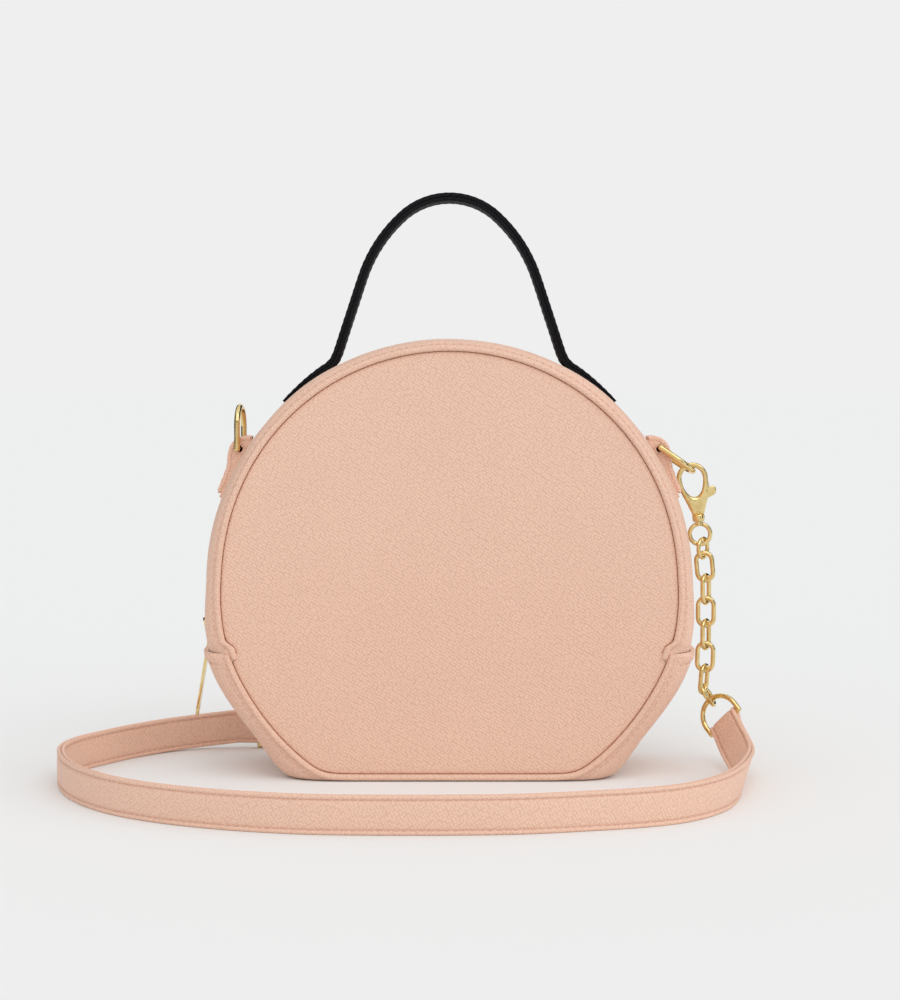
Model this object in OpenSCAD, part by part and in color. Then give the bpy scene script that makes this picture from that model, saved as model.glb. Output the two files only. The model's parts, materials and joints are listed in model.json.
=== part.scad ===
// Round leather handbag: two round panels, a zipped gusset, a top handle
// and a shoulder strap on two short chains with swivel clasps.
// The bag stands on the XY plane with its front towards -Y.

/* [Body] */
// Widest half width of the upper gusset, about the zip circle
gusset_r = 105; // [90:1:120]
// Height of the zip circle's centre above the floor
gusset_z = 80.5; // [70:0.5:90]
// Radius of the seam round each panel
panel_r = 95; // [80:1:110]
// Height of the panel circle's centre above the floor
panel_z = 85.3; // [75:0.1:95]
// Depth of the bag from piping to piping
bag_d = 70; // [60:1:90]
// Thickness of the gusset leather
leather_t = 1.6; // [1:0.1:2]
// Width of the piping round each panel
piping_w = 2.7; // [2:0.1:4]

/* [Zip] */
// Distance of the zip's centre behind the middle of the bag
zip_y = 18.5; // [17:0.5:19]
// Angle from the slider's closed place to its open place
zip_travel = 202; // [150:1:202]
// Length of the zip pull from its cross bar to its end
pull_l = 38; // [25:1:45]

/* [Handle] */
// Width of the handle leather
handle_w = 18; // [14:1:22]
// Thickness of the two handle layers together
handle_t = 3.5; // [2.5:0.1:4]
// Distance of the handle behind the middle of the bag
handle_y = 3.5; // [0:0.5:4]

/* [Strap] */
// Width of the shoulder strap
strap_w = 15; // [12:1:18]
// Thickness of the shoulder strap
strap_t = 3; // [2:0.1:4]
// Number of chain links at each end
link_count = 7; // [7:1:7]
// Outer length of a chain link
link_l = 14.1; // [14:0.1:14.5]
// Outer width of a chain link
link_w = 8.8; // [8.6:0.1:9.2]
// Wire diameter of a chain link
link_d = 2; // [1.8:0.1:2]

/* [Hidden] */
$fn = 48;
blush = [0.91, 0.75, 0.66];
black = [0.12, 0.12, 0.12];
gold = [0.83, 0.67, 0.33];
tan = [0.72, 0.58, 0.48];
tape_colour = [0.80, 0.66, 0.57];
board_colour = [0.55, 0.48, 0.40];

// Outlines. An angle d runs from straight down, 0, to the right, 90, and over the top, 180.
panel_flat = panel_z - 3;      // from the panel's centre down to its flat bottom seam
panel_full = 3.4;              // how much fuller than a circle the panel is low down
panel_hip = 1.4;               // how much fuller it is beside the hem
crown_in = 2.4;                // how far the gusset's front draws in at the sides
hem_rise = 1.5;                // how much higher the hem is on the flat band, in degrees
base_r = 106;                  // base gusset, about the zip circle's centre
hem_e = 16;                    // the hem's upper edge, degrees below the zip circle's centre
hem_deg = 2.3;                 // height of the folded hem, in degrees
hem_t = 0.7;                   // how far the hem stands out
base_lap = 3.1;                // how far the base gusset stands out under the hem
flare = 2.3;                   // how far the upper gusset flares towards the hem
tuck_in = 2.9;                 // how far the upper piping tucks in behind the lower one
panel_corner_d = 32.5;         // where the panel's flat bottom starts, in degrees
base_corner_d = 40.6;          // where the base gusset's flat bottom starts
shoulder_y = 22.5;             // half depth of the gusset's flat band
seam_y = bag_d / 2 - 1.4;      // half depth at the panel seams
round_steps = 5;               // rings over each rounded shoulder
fold_d = 86;                   // where the back folds when the bag is open
fold_z = 77.5;                 // height of that fold on the back panel
fold_gap = 0.3;

function lerp(a, b, t) = a + (b - a) * t;
function clamp01(t) = max(0, min(1, t));
function smooth(t) = let (u = clamp01(t)) u * u * (3 - 2 * u);
function unit(v) = v / norm(v);
// The smaller of two distances, rounded where they cross
function soft_min(a, b, k) = pow(pow(a, -k) + pow(b, -k), -1 / k);
function below(d) = 90 - abs(d > 180 ? 360 - d : d);

function panel_turn(d) =
    let (a = abs(d > 180 ? d - 360 : d), s = d > 180 ? -1 : sign(d))
    s * (a < base_corner_d ? a * panel_corner_d / base_corner_d
        : a < 90 ? lerp(panel_corner_d, 90, (a - base_corner_d) / (90 - base_corner_d))
        : a);
function panel_pt(d, off) =
    let (t = panel_turn(d), c = cos(t), 
         r = panel_r + off + panel_full * max(0, c) + panel_hip * exp(-pow((abs(t) - 74) / 16, 2)),
         q = c > 0.2 ? soft_min(r, (panel_flat + off) / c, 60) : r)
    [q * sin(t), panel_z - q * c];
function tuck(d) = tuck_in * smooth((below(d) - hem_e + 3) / 2.6);
// How much the front of the gusset draws in from its middle at the sides of the bag
function crown(d, y) = let (a = abs(d > 180 ? 360 - d : d))
    crown_in * smooth((-y - 2) / 20.5) * smooth((a - 40) / 14) * smooth((150 - a) / 40);
// The hem runs level at the front, so the skin is drawn up a little towards the flat band
function risen(d, w, y) =
    d + sign(d) * hem_rise * w * smooth((abs(d) - 64) / 10) * smooth((12 - y) / 10);
function upper_pt(d, off) =
    let (r = gusset_r + off + flare * smooth((below(d) + 2) / 15))
    [r * sin(d), gusset_z - r * cos(d)];
function base_pt(d, off) =
    let (e = below(d), lap = base_lap * (0.5 + 0.5 * cos(180 * clamp01((e - hem_e) / 24))),
         hem = hem_t * (1 - smooth((e - hem_e - hem_deg) / 0.5)),
         r = base_r + off + lap + hem, c = cos(d),
         q = c > 0.2 ? soft_min(r, (gusset_z + off) / c, 80) : r)
    [q * sin(d), gusset_z - q * c];
// A point of the gusset's skin: w is 0 at the panel seam and 1 on the flat band
function upper_skin(d, w, off, y) =
    let (p = lerp(panel_pt(d, off + piping_w - tuck(d)), upper_pt(d, off - crown(d, y)), w))
    [p.x, y, p.y];
function base_skin(d, w, off, y) =
    let (e = risen(d, w, y), p = lerp(panel_pt(e, off + piping_w), base_pt(e, off - crown(e, y)), w))
    [p.x, y, p.y];
// Depth and weight of each ring over a rounded shoulder, from the seam inwards
function shoulder(inset) = [for (k = [0:round_steps])
    let (a = 90 * k / round_steps)
    [shoulder_y + (seam_y - shoulder_y - inset) * cos(a), sin(a)]];

// A solid swept through loops of points, each with as many points as the first
module sweep(loops, skin = false) {
    n = len(loops[0]);
    m = len(loops);
    points = [for (l = loops) each l];
    sides = [for (i = [0:m - 2], j = [0:n - 1])
        each [[i * n + j, i * n + (j + 1) % n, (i + 1) * n + j],
              [i * n + (j + 1) % n, (i + 1) * n + (j + 1) % n, (i + 1) * n + j]]];
    last = (m - 1) * n;
    caps = !skin ? [[for (j = [n - 1:-1:0]) j], [for (j = [0:n - 1]) last + j]]
        : [for (j = [0:n / 2 - 2]) let (k = n - 1 - j)
            each [[k, k - 1, j + 1], [k, j + 1, j],
                  [last + j, last + j + 1, last + k - 1], [last + j, last + k - 1, last + k]]];
    polyhedron(points, concat(sides, caps));
}
// Each loop's points in the other order, which turns a sweep's faces over
function turned_over(loops) = [for (l = loops) [for (i = [len(l) - 1:-1:0]) l[i]]];
// Even angles from a to b, at most step apart
function angles(a, b, step) =
    let (n = ceil(abs(b - a) / step)) [for (i = [0:n]) lerp(a, b, i / n)];
// Part of a ring round the zip circle, with depth y0 to y1 and angles d0 to d1
module ring_sector(r0, r1, y0, y1, d0, d1) {
    translate([0, 0, gusset_z]) rotate([90, 0, 0]) rotate([0, 0, d0 - 90])
        rotate_extrude(angle = d1 - d0, $fn = 180)
            translate([r0, -y1]) square([r1 - r0, y1 - y0]);
}
// An outline in the XZ plane, extruded from y0 to y1
module plate(y0, y1) {
    translate([0, y1, 0]) rotate([90, 0, 0]) linear_extrude(y1 - y0) children();
}

// Panels, boards and linings
panel_y = [seam_y - leather_t, seam_y];
board_t = 1;
lining_t = 0.8;
glue = 0.1;
board_y = [panel_y.x - glue - board_t, panel_y.x - glue];
panel_lining_y = [board_y.x - glue - lining_t, board_y.x - glue];
panel_half = concat([0, 10, 20], [for (d = [30:3:45]) d], [for (d = [48:4:64]) d],
    [68, 71.2, 71.9, 73, 74, 75.2, 76.2, 77.4], angles(80.4, 180, 3.7));
panel_d = concat([for (i = [len(panel_half) - 1:-1:1]) -panel_half[i]],
    [for (i = [0:len(panel_half) - 2]) panel_half[i]]);
function panel_edge(off) = [for (d = panel_d)
    panel_pt(d, off - (abs(d) > 71.5 ? tuck(d) : 0))];
module panel_shape(off, z0, z1) {
    intersection() {
        polygon(panel_edge(off));
        translate([-150, z0]) square([300, z1 - z0]);
    }
}
module front_panel() {
    color(blush) plate(-panel_y.y, -panel_y.x) polygon(panel_edge(-glue));
}
module front_board() {
    color(board_colour) plate(-board_y.y, -board_y.x) polygon(panel_edge(-1));
}
module front_lining() {
    color(tan) plate(-panel_lining_y.y, -panel_lining_y.x) polygon(panel_edge(0));
}
module back_panel() {
    color(blush) plate(panel_y.x, panel_y.y) panel_shape(-glue, fold_z, 200);
}
module back_board() {
    color(board_colour) plate(board_y.x, board_y.y) panel_shape(-1, fold_z, 200);
}
module back_lining() {
    color(tan) plate(panel_lining_y.x, panel_lining_y.y) panel_shape(0, fold_z, 200);
}
module back_panel_lower() {
    color(blush) plate(board_y.x, panel_y.y) panel_shape(-glue, 0, fold_z - fold_gap);
}
module back_lining_lower() {
    color(tan) plate(panel_lining_y.x, panel_lining_y.y) panel_shape(0, 0, fold_z - fold_gap);
}

// Piping: a rounded lip round each panel, proud of it
pipe_h = 4;
module piping(ds, upper, side) {
    y1 = bag_d / 2;
    w = piping_w - glue;
    section = [[0, y1 - pipe_h], [0, y1 - 1.2], [0.8, y1 - 0.3], [w / 2, y1], [w - 0.8, y1 - 0.3],
        [w, y1 - 1.2], [w, seam_y + glue], [1, seam_y + glue], [1, y1 - pipe_h]];
    loops = [for (d = ds) [for (s = section)
        let (p = panel_pt(d, s.x - (upper ? tuck(d) : 0))) [p.x, side * s.y, p.y]]];
    sweep(side > 0 ? loops : turned_over(loops));
}
hem_d = 90 - hem_e;
lap_d = 2;                       // how far the upper pieces run in behind the base, in degrees
low_ds = [hem_d - lap_d, 74, 75.2, 76.2, 77.4];
upper_ds = concat(low_ds, angles(80.4, 279.6, 3.7), [for (i = [4:-1:0]) 360 - low_ds[i]]);
end_ds = concat(low_ds, [80.4, 83.1, fold_d - 0.25]);
far_end_ds = [for (i = [len(end_ds) - 1:-1:0]) 360 - end_ds[i]];
base_half = concat([0, 10, 20, 28], [for (d = [32:2:46]) d], [for (d = [50:4:66]) d],
    [68, 69.6, 70.3, 71, 71.5, 72, 73.6, hem_d]);
base_ds = concat([for (i = [len(base_half) - 1:-1:1]) -base_half[i]], base_half);
module front_piping_upper() {
    color(blush) piping(upper_ds, true, -1);
}
module front_piping_lower() {
    color(blush) piping(base_ds, false, -1);
}
module back_piping() {
    color(blush) piping(angles(fold_d, 360 - fold_d, 3.6), true, 1);
}
module back_piping_lower() {
    color(blush) piping(base_ds, false, 1);
}
module back_piping_ends() {
    color(blush) {
        piping(end_ds, true, 1);
        piping(far_end_ds, true, 1);
    }
}

// Gussets: shells swept round the bag between an outer and an inner line of rings
zip_gap = 4;                     // half width of the slot for the zip
module upper_shell(ds, rings, outer, inner, side) {
    section = concat([for (r = rings) [r.x, r.y, outer]],
        [for (i = [len(rings) - 1:-1:0]) [rings[i].x, rings[i].y, inner]]);
    loops = [for (d = ds) [for (s = section) upper_skin(d, s.y, s.z, side * s.x)]];
    sweep(side > 0 ? loops : turned_over(loops), true);
}
front_rings = concat(shoulder(0), [[12, 1], [2, 1], [-(zip_y - zip_gap), 1]]);
lining_rings = concat(shoulder(3.6), [[12, 1], [2, 1], [-10.3, 1]]);
module front_gusset() {
    color(blush) upper_shell(upper_ds, front_rings, 0, -leather_t, -1);
}
module front_gusset_lining() {
    color(tan) upper_shell(upper_ds, lining_rings, -leather_t - glue, -leather_t - glue - lining_t, -1);
}
module back_gusset() {
    color(blush) upper_shell(angles(fold_d, 360 - fold_d, 3.6), shoulder(0), 0, -leather_t, 1);
}
module back_gusset_ends() {
    color(blush) {
        upper_shell(end_ds, shoulder(0), 0, -leather_t, 1);
        upper_shell(far_end_ds, shoulder(0), 0, -leather_t, 1);
    }
}
module base_shell(ds, inset, outer, inner) {
    front = shoulder(inset);
    rings = concat([for (r = front) [-r.x, r.y]], [[-12, 1], [-2, 1], [9, 1]], [for (i = [len(front) - 1:-1:0]) front[i]]);
    section = concat([for (r = rings) [r.x, r.y, outer]],
        [for (i = [len(rings) - 1:-1:0]) [rings[i].x, rings[i].y, inner]]);
    sweep(turned_over([for (d = ds) [for (s = section) base_skin(d, s.y, s.z, s.x)]]), true);
}
module base_gusset() {
    color(blush) base_shell(base_ds, 0, 0, -leather_t);
}
board_half_x = 56;
module base_board() {
    color(board_colour) translate([-board_half_x, -29, leather_t + glue])
        cube([2 * board_half_x, 58, 1.5]);
}
module base_lining() {
    color(tan) translate([-board_half_x, -29, leather_t + 2 * glue + 1.5])
        cube([2 * board_half_x, 58, lining_t]);
}

// Zip: two tapes and two rows of teeth on the zip circle
tape_r = [gusset_r - 2.7, gusset_r - 1.9];
teeth_r = [gusset_r - 2.6, gusset_r - 1.1, gusset_r - 0.3];
row_gap = 0.45;                 // from the zip's centre to each row of teeth
row_w = 1.65;
row_end_d = 75.4;
teeth_pitch = 1.6;              // degrees
front_row = [zip_y - row_gap - row_w, zip_y - row_gap];
back_row = [zip_y + row_gap, zip_y + row_gap + row_w];
module teeth_row(row, d0, d1) {
    n = floor((d1 - d0) / teeth_pitch);
    p = (d1 - d0) / n;
    outer = [for (i = [0:n - 1]) each [
        [teeth_r.z, d0 + i * p], [teeth_r.z, d0 + (i + 0.55) * p],
        [teeth_r.y, d0 + (i + 0.55) * p], [teeth_r.y, d0 + (i + 1) * p]]];
    inner = [for (d = angles(d1, d0, 4)) [teeth_r.x, d]];
    plate(row.x, row.y) polygon([for (q = concat(outer, inner))
        [q.x * sin(q.y), gusset_z - q.x * cos(q.y)]]);
}
module zip_tape_front() {
    color(tape_colour) ring_sector(tape_r.x, tape_r.y, zip_y - 7.8, front_row.x,
        hem_d - lap_d, 360 - hem_d + lap_d);
}
module zip_teeth_front() {
    color(gold) teeth_row(front_row, row_end_d, 360 - row_end_d);
}
module zip_tape_back() {
    color(tape_colour) ring_sector(tape_r.x, tape_r.y, back_row.y, zip_y + 6,
        fold_d, 360 - fold_d);
}
module zip_teeth_back() {
    color(gold) teeth_row(back_row, fold_d + 0.1, 359.9 - fold_d);
}
module zip_tape_ends() {
    color(tape_colour) {
        ring_sector(tape_r.x, tape_r.y, back_row.y, zip_y + 6, hem_d - lap_d, fold_d - 0.25);
        ring_sector(tape_r.x, tape_r.y, back_row.y, zip_y + 6,
            360.25 - fold_d, 360 - hem_d + lap_d);
    }
}
module zip_teeth_ends() {
    color(gold) {
        teeth_row(back_row, row_end_d, fold_d - 0.35);
        teeth_row(back_row, 360.35 - fold_d, 360 - row_end_d);
    }
}
module zip_stops() {
    color(gold) for (d = [hem_d + 0.4, 360 - hem_d - 1.2])
        ring_sector(teeth_r.x, teeth_r.z + 0.1, front_row.x, back_row.y, d, d + 0.8);
}

// Slider: two plates joined by a thin wedge, side flanges and a bridge for the pull
slider_d = [360 - 82.6, 360 - 75.7];
slider_half = 3.5;
plate_r = [gusset_r, gusset_r + 1.6];
bridge_r = [gusset_r + 4.1, gusset_r + 5.4];
bridge_d = [360 - 81, 360 - 76];
bridge_half = 0.8;
bridge_foot_d = 0.7;
module zip_slider() {
    y0 = zip_y - slider_half;
    y1 = zip_y + slider_half;
    color(gold) union() {
        ring_sector(plate_r.x, plate_r.y, y0, y1, slider_d.x, slider_d.y);
        ring_sector(gusset_r - 4.4, gusset_r - 3.1, y0, y1, slider_d.x, slider_d.y);
        for (y = [y0, y1 - 0.9])
            ring_sector(gusset_r - 1.6, gusset_r + 0.1, y, y + 0.9, slider_d.x, slider_d.y);
        ring_sector(gusset_r - 3.2, gusset_r + 0.1, zip_y - 0.15, zip_y + 0.15,
            slider_d.x, slider_d.x + 2.5);
        ring_sector(bridge_r.x, bridge_r.y, zip_y - bridge_half, zip_y + bridge_half,
            bridge_d.x, bridge_d.y);
        for (d = [bridge_d.x, bridge_d.y - bridge_foot_d])
            ring_sector(plate_r.y - 0.1, bridge_r.x + 0.1, zip_y - bridge_half,
                zip_y + bridge_half, d, d + bridge_foot_d);
    }
}
// Pull: a flat plate whose cross bar lies under the bridge
pull_d = 360 - 77.6;
pull_r = gusset_r + 3.2;
pull_lean = 9.5;                // degrees out from straight down
pull_bar_r = 0.55;
pull_t = 1.2;
module zip_pull() {
    color(gold) translate([pull_r * sin(pull_d), zip_y, gusset_z - pull_r * cos(pull_d)])
        rotate([0, 180 + pull_lean, 0]) {
            rotate([90, 0, 0]) cylinder(r = pull_bar_r, h = 6.6, center = true, $fn = 24);
            difference() {
                union() {
                    translate([-pull_t / 2 + 0.05, -3.3, 0]) cube([pull_t - 0.1, 6.6, 8]);
                    translate([-pull_t / 2, -3.3, 7]) cube([pull_t, 6.6, pull_l - 10.3]);
                    translate([-pull_t / 2, 0, pull_l - 3.3]) rotate([0, 90, 0])
                        cylinder(r = 3.3, h = pull_t);
                }
                translate([-2, -2.2, pull_bar_r * 0.6]) cube([4, 4.4, 5.6]);
                translate([-2, 0, pull_l - 3.6]) rotate([0, 90, 0]) cylinder(r = 1.1, h = 4);
            }
        }
}

// Handle: two leather layers bent to one arch, the outer one running on into sewn tabs
arch_r = 30;
arch_top_z = 246.3;
arch_a = 42;
leg_r = 62;
leg_a = 71.7;
foot_r = 9;
foot_a = 29.5;
tab_a = 42.2;
half_t = handle_t / 2;
line_r = gusset_r + 0.1 + half_t;
arch_c = [0, arch_top_z - arch_r];
arch_end = arch_c + arch_r * [sin(arch_a), cos(arch_a)];
leg_c = arch_end - leg_r * [sin(arch_a), cos(arch_a)];
foot_e = [0, gusset_z] + line_r * [sin(foot_a), cos(foot_a)];
foot_c = foot_e + foot_r * [sin(foot_a), cos(foot_a)];
// Each station is a place on the line between the layers and the angle of its normal
stations = concat(
    [for (a = angles(0, arch_a, 4)) [arch_c + arch_r * [sin(a), cos(a)], a]],
    [for (a = angles(arch_a + 4, leg_a, 5)) [leg_c + leg_r * [sin(a), cos(a)], a]],
    [for (a = angles(leg_a, foot_a, 6)) [foot_c - foot_r * [sin(a), cos(a)], a]],
    [for (a = angles(foot_a + 2, tab_a, 2.2)) [[0, gusset_z] + line_r * [sin(a), cos(a)], a]]);
foot_i = len(stations) - len(angles(foot_a + 2, tab_a, 2.2));
function taper(i) = clamp01((i - foot_i) / (len(stations) - 1 - foot_i));
function offset_pt(i, o) = stations[i][0] + o * [sin(stations[i][1]), cos(stations[i][1])];
function both_sides(right) = concat([for (i = [len(right) - 1:-1:0]) [-right[i].x, right[i].y]],
    right);
module handle_layer(outside, inside) {
    back = both_sides(inside);
    polygon(concat(both_sides(outside), [for (i = [len(back) - 1:-1:0]) back[i]]));
}
module handle_outer() {
    n = len(stations) - 1;
    outside = [for (i = [0:n]) offset_pt(i, half_t - 2.2 * taper(i))];
    inside = [for (i = [0:n]) offset_pt(i, i <= foot_i ? 0 : -half_t)];
    color(black) plate(handle_y - handle_w / 2, handle_y + handle_w / 2)
        handle_layer(outside, inside);
}
module handle_inner() {
    outside = [for (i = [0:foot_i - 1]) offset_pt(i, -0.05)];
    inside = [for (i = [0:foot_i - 1]) offset_pt(i, -half_t)];
    color(black) plate(handle_y - handle_w / 2, handle_y + handle_w / 2)
        handle_layer(outside, inside);
}

// Ring tabs: a leather strip folded round the bar of a D-ring and sewn to the gusset
tab_w = 14;
tab_t = 1.8;
tab_y = 4;
tab_line = [[99.4, 119.6], [97.9, 123.1], [96.4, 126.6], [94.9, 131], [94.5, 135.5], [93.4, 139.6],
    [90.8, 142.3], [87.6, 143.0], [85.8, 142.7]];
// Points on a smooth curve through the given ones
function curve_pt(p0, p1, p2, p3, t) = 0.5 * (2 * p1 + (p2 - p0) * t
    + (2 * p0 - 5 * p1 + 4 * p2 - p3) * t * t + (3 * p1 - p0 - 3 * p2 + p3) * t * t * t);
function curve(p, n) = let (m = len(p) - 1) concat([for (i = [0:m - 1], k = [0:n - 1])
    curve_pt(p[max(0, i - 1)], p[i], p[i + 1], p[min(m, i + 2)], k / n)], [p[m]]);
function ahead(p, i) = unit(p[min(len(p) - 1, i + 1)] - p[max(0, i - 1)]);
function beside(p, i, o) = p[i] + o * [ahead(p, i).y, -ahead(p, i).x];
module ring_tab() {
    line = curve(tab_line, 3);
    n = len(line) - 1;
    inner_leg = [gusset_r + 0.1, gusset_r + 0.9];
    plate(tab_y - tab_w / 2, tab_y + tab_w / 2) union() {
        polygon(concat([for (i = [0:n]) beside(line, i, tab_t / 2)],
            [for (i = [n:-1:0]) beside(line, i, -tab_t / 2)]));
        polygon([for (q = concat([for (a = angles(21.4, 36.2, 2)) [inner_leg.y, a]],
                [for (a = angles(36.2, 21.4, 2)) [inner_leg.x, a]]))
            [q.x * cos(q.y), gusset_z + q.x * sin(q.y)]]);
    }
}
module ring_tab_right() {
    color(blush) ring_tab();
}
module ring_tab_left() {
    color(blush) mirror([1, 0, 0]) ring_tab();
}

// A D-ring with its bar along Y through the origin, standing along Z
module d_ring(inner_w, line_h, wire) {
    half = (inner_w + wire) / 2;
    leg = line_h - half;
    rotate([90, 0, 0]) cylinder(d = wire, h = 2 * half, center = true, $fn = 24);
    for (s = [-1, 1]) {
        translate([0, s * half, 0]) sphere(d = wire, $fn = 24);
        translate([0, s * half, 0]) cylinder(d = wire, h = leg + 0.02, $fn = 24);
    }
    translate([0, 0, leg]) rotate([90, 0, 90]) rotate_extrude(angle = 180)
        translate([half, 0]) circle(d = wire, $fn = 24);
}
ring_wire = 2.5;
ring_inner = 15;
ring_h = 18;
left_bar = [-90.6, tab_y, 138.7];
left_yaw = -4;
right_bar = [90.6, tab_y, 138.7];
right_swing = 124.2;
right_roll = -3;
module d_ring_left() {
    color(gold) translate(left_bar) rotate([0, 0, left_yaw]) d_ring(ring_inner, ring_h, ring_wire);
}
module d_ring_right() {
    color(gold) translate(right_bar) rotate([0, right_swing, 0]) rotate([0, 0, right_roll])
        d_ring(ring_inner, ring_h, ring_wire);
}

// Swivel clasp, drawn with its swivel along Z and its face in the XZ plane
claw_c = [-1.1, 18.9];
claw_r = 5.7;
claw_w = 2.3;
claw_t = 3.2;
pivot = [0.2, 9];
pin_r = 0.7;
slot_t = 1.7;
collar_r = 2.85;
shank_r = 1;
head_r = 1.6;
module rounded(w, h, r) {
    square([w - 2 * r, h], center = true);
    square([w, h - 2 * r], center = true);
    for (x = [-1, 1], y = [-1, 1])
        translate([x * (w / 2 - r), y * (h / 2 - r)]) circle(r, $fn = 24);
}
module claw_arc(a0, a1) {
    translate([claw_c.x, 0, claw_c.y]) rotate([90, 0, 0]) rotate([0, 0, a0])
        rotate_extrude(angle = a1 - a0) translate([claw_r, 0]) rounded(claw_w, claw_t, 0.7);
}
// The gate closes against the hook's tip from inside, on a face round the pivot
tip_r = 9.75;
module gate_sweep(r) {
    translate([pivot.x, -5, pivot.y]) rotate([-90, 0, 0]) cylinder(r = r, h = 10);
}
// The drop-shaped eye inside the claw, as seen along Y with Z turned over
module eye_of_claw() {
    top = claw_r - claw_w / 2;
    translate([claw_c.x, -claw_c.y]) circle(top);
    translate([-0.8, -13.3]) circle(2.9);
    polygon([[claw_c.x - top * cos(16), -claw_c.y + top * sin(16)], [-3.6, -13.8], [-3.5, -12.4],
        [1.9, -12.4], [2, -13.9], [claw_c.x + top * cos(16), -claw_c.y + top * sin(16)]]);
}
module clasp_body() {
    difference() {
        union() {
            difference() {
                claw_arc(-50, 216);
                intersection() {
                    gate_sweep(tip_r + 0.3);
                    translate([-12, -5, 13.5]) cube([7.4, 10, 8]);
                }
            }
            difference() {
                plate(-claw_t / 2, claw_t / 2) polygon([[-2.7, 3], [2.7, 3], [3.5, 6.6], [4.8, 11.5],
                    [5.6, 17], [4, 18], [-3, 14], [-5.5, 12.5], [-4.6, 9.6], [-3.4, 6.4]]);
                rotate([-90, 0, 0]) translate([0, 0, -5]) linear_extrude(10) eye_of_claw();
            }
            cylinder(r = collar_r, h = 2.5);
            cylinder(r = 2.6, h = 5.4);
        }
        translate([-8, -slot_t / 2, 6.6]) cube([16, slot_t, 8.6]);
        translate([pivot.x, -5, pivot.y]) rotate([-90, 0, 0]) cylinder(r = pin_r, h = 10, $fn = 24);
        translate([0, 0, -1]) cylinder(r = shank_r + 0.05, h = 5, $fn = 32);
        translate([0, 0, 3.25]) cylinder(r = head_r + 0.1, h = 1.25, $fn = 32);
        translate([-1.6, 0, 5]) cylinder(r = 0.82, h = 3, $fn = 24);
    }
}
module clasp_gate() {
    arm = 232;
    difference() {
        union() {
            intersection() {
                claw_arc(196, arm);
                gate_sweep(tip_r);
            }
            plate(-0.75, 0.75) polygon([[-5.6, 14.9], [-4.6, 12.7], [-1.5, 7.7], [0.4, 7.2],
                [6, 10.8], [6, 12.9], [1.6, 10.4], [-1.2, 10.1], [-3, 11.6], [-3.9, 15.2]]);
            plate(-1.5, 1.5) polygon([[5.3, 10.4], [7.2, 11.4], [8.5, 13.4], [7.6, 14.6],
                [5.3, 12.9]]);
        }
        translate([pivot.x, -5, pivot.y]) rotate([-90, 0, 0])
            cylinder(r = pin_r + 0.05, h = 10, $fn = 24);
    }
}
module clasp_pin() {
    translate([pivot.x, -claw_t / 2, pivot.y]) rotate([-90, 0, 0])
        cylinder(r = pin_r - 0.01, h = claw_t, $fn = 24);
}
module clasp_spring() {
    turns = 4;
    per = 10;
    coil_r = 0.58;
    wire_r = 0.16;
    translate([-1.6, 0, 5.2]) sweep([for (i = [0:turns * per])
        let (a = 360 * i / per, z = wire_r + i * 1.9 / (turns * per))
        [for (k = [0:4]) let (b = 72 * k, q = coil_r + wire_r * cos(b))
            [q * cos(a), q * sin(a), z + wire_r * sin(b)]]]);
}
eye_c = -5.7;
eye_r = 4.45;
eye_wire = 1.9;
module clasp_eye() {
    translate([0, 0, eye_c]) rotate([90, 0, 0]) rotate_extrude()
        translate([eye_r, 0]) circle(d = eye_wire, $fn = 24);
    translate([0, 0, -1.7]) cylinder(r = 1.9, h = 1.4, $fn = 32);
    translate([0, 0, -0.4]) cylinder(r = shank_r, h = 4, $fn = 32);
    translate([0, 0, 3.35]) cylinder(r = head_r, h = 1, $fn = 32);
}
near_at = [108.3, tab_y, 107];
near_lean = -5.8;
far_at = [6.2, 50, 2.95];
far_tip = 3;
module at_near() {
    translate(near_at) rotate([0, near_lean, 0]) children();
}
module at_far() {
    translate(far_at) rotate([0, far_tip, 0]) rotate([90, 0, 90]) children();
}
module clasp_body_near() {
    color(gold) at_near() clasp_body();
}
module clasp_gate_near() {
    color(gold) at_near() clasp_gate();
}
module clasp_pin_near() {
    color(gold) at_near() clasp_pin();
}
module clasp_spring_near() {
    color(gold) at_near() clasp_spring();
}
module clasp_eye_near() {
    color(gold) at_near() clasp_eye();
}
module clasp_body_far() {
    color(gold) at_far() clasp_body();
}
module clasp_gate_far() {
    color(gold) at_far() clasp_gate();
}
module clasp_pin_far() {
    color(gold) at_far() clasp_pin();
}
module clasp_spring_far() {
    color(gold) at_far() clasp_spring();
}
module clasp_eye_far() {
    color(gold) at_far() clasp_eye();
}

// Chains: each link joins two meeting points a pitch apart
link_pitch = link_l - 2 * link_d - 0.2;
module oval_link() {
    for (s = [-1, 1])
        translate([s * (link_w - link_d) / 2, 0, 0])
            cylinder(d = link_d, h = link_l - link_w + 0.02, center = true, $fn = 24);
    for (s = [0, 1])
        mirror([0, 0, s]) translate([0, 0, (link_l - link_w) / 2]) rotate([90, 0, 0])
            rotate_extrude(angle = 180) translate([(link_w - link_d) / 2, 0])
                circle(d = link_d, $fn = 24);
}
// Meeting points from a start along a list of link directions
function meets(start, dirs, i) =
    i == 0 ? start : meets(start, dirs, i - 1) + link_pitch * unit(dirs[i - 1]);
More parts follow.
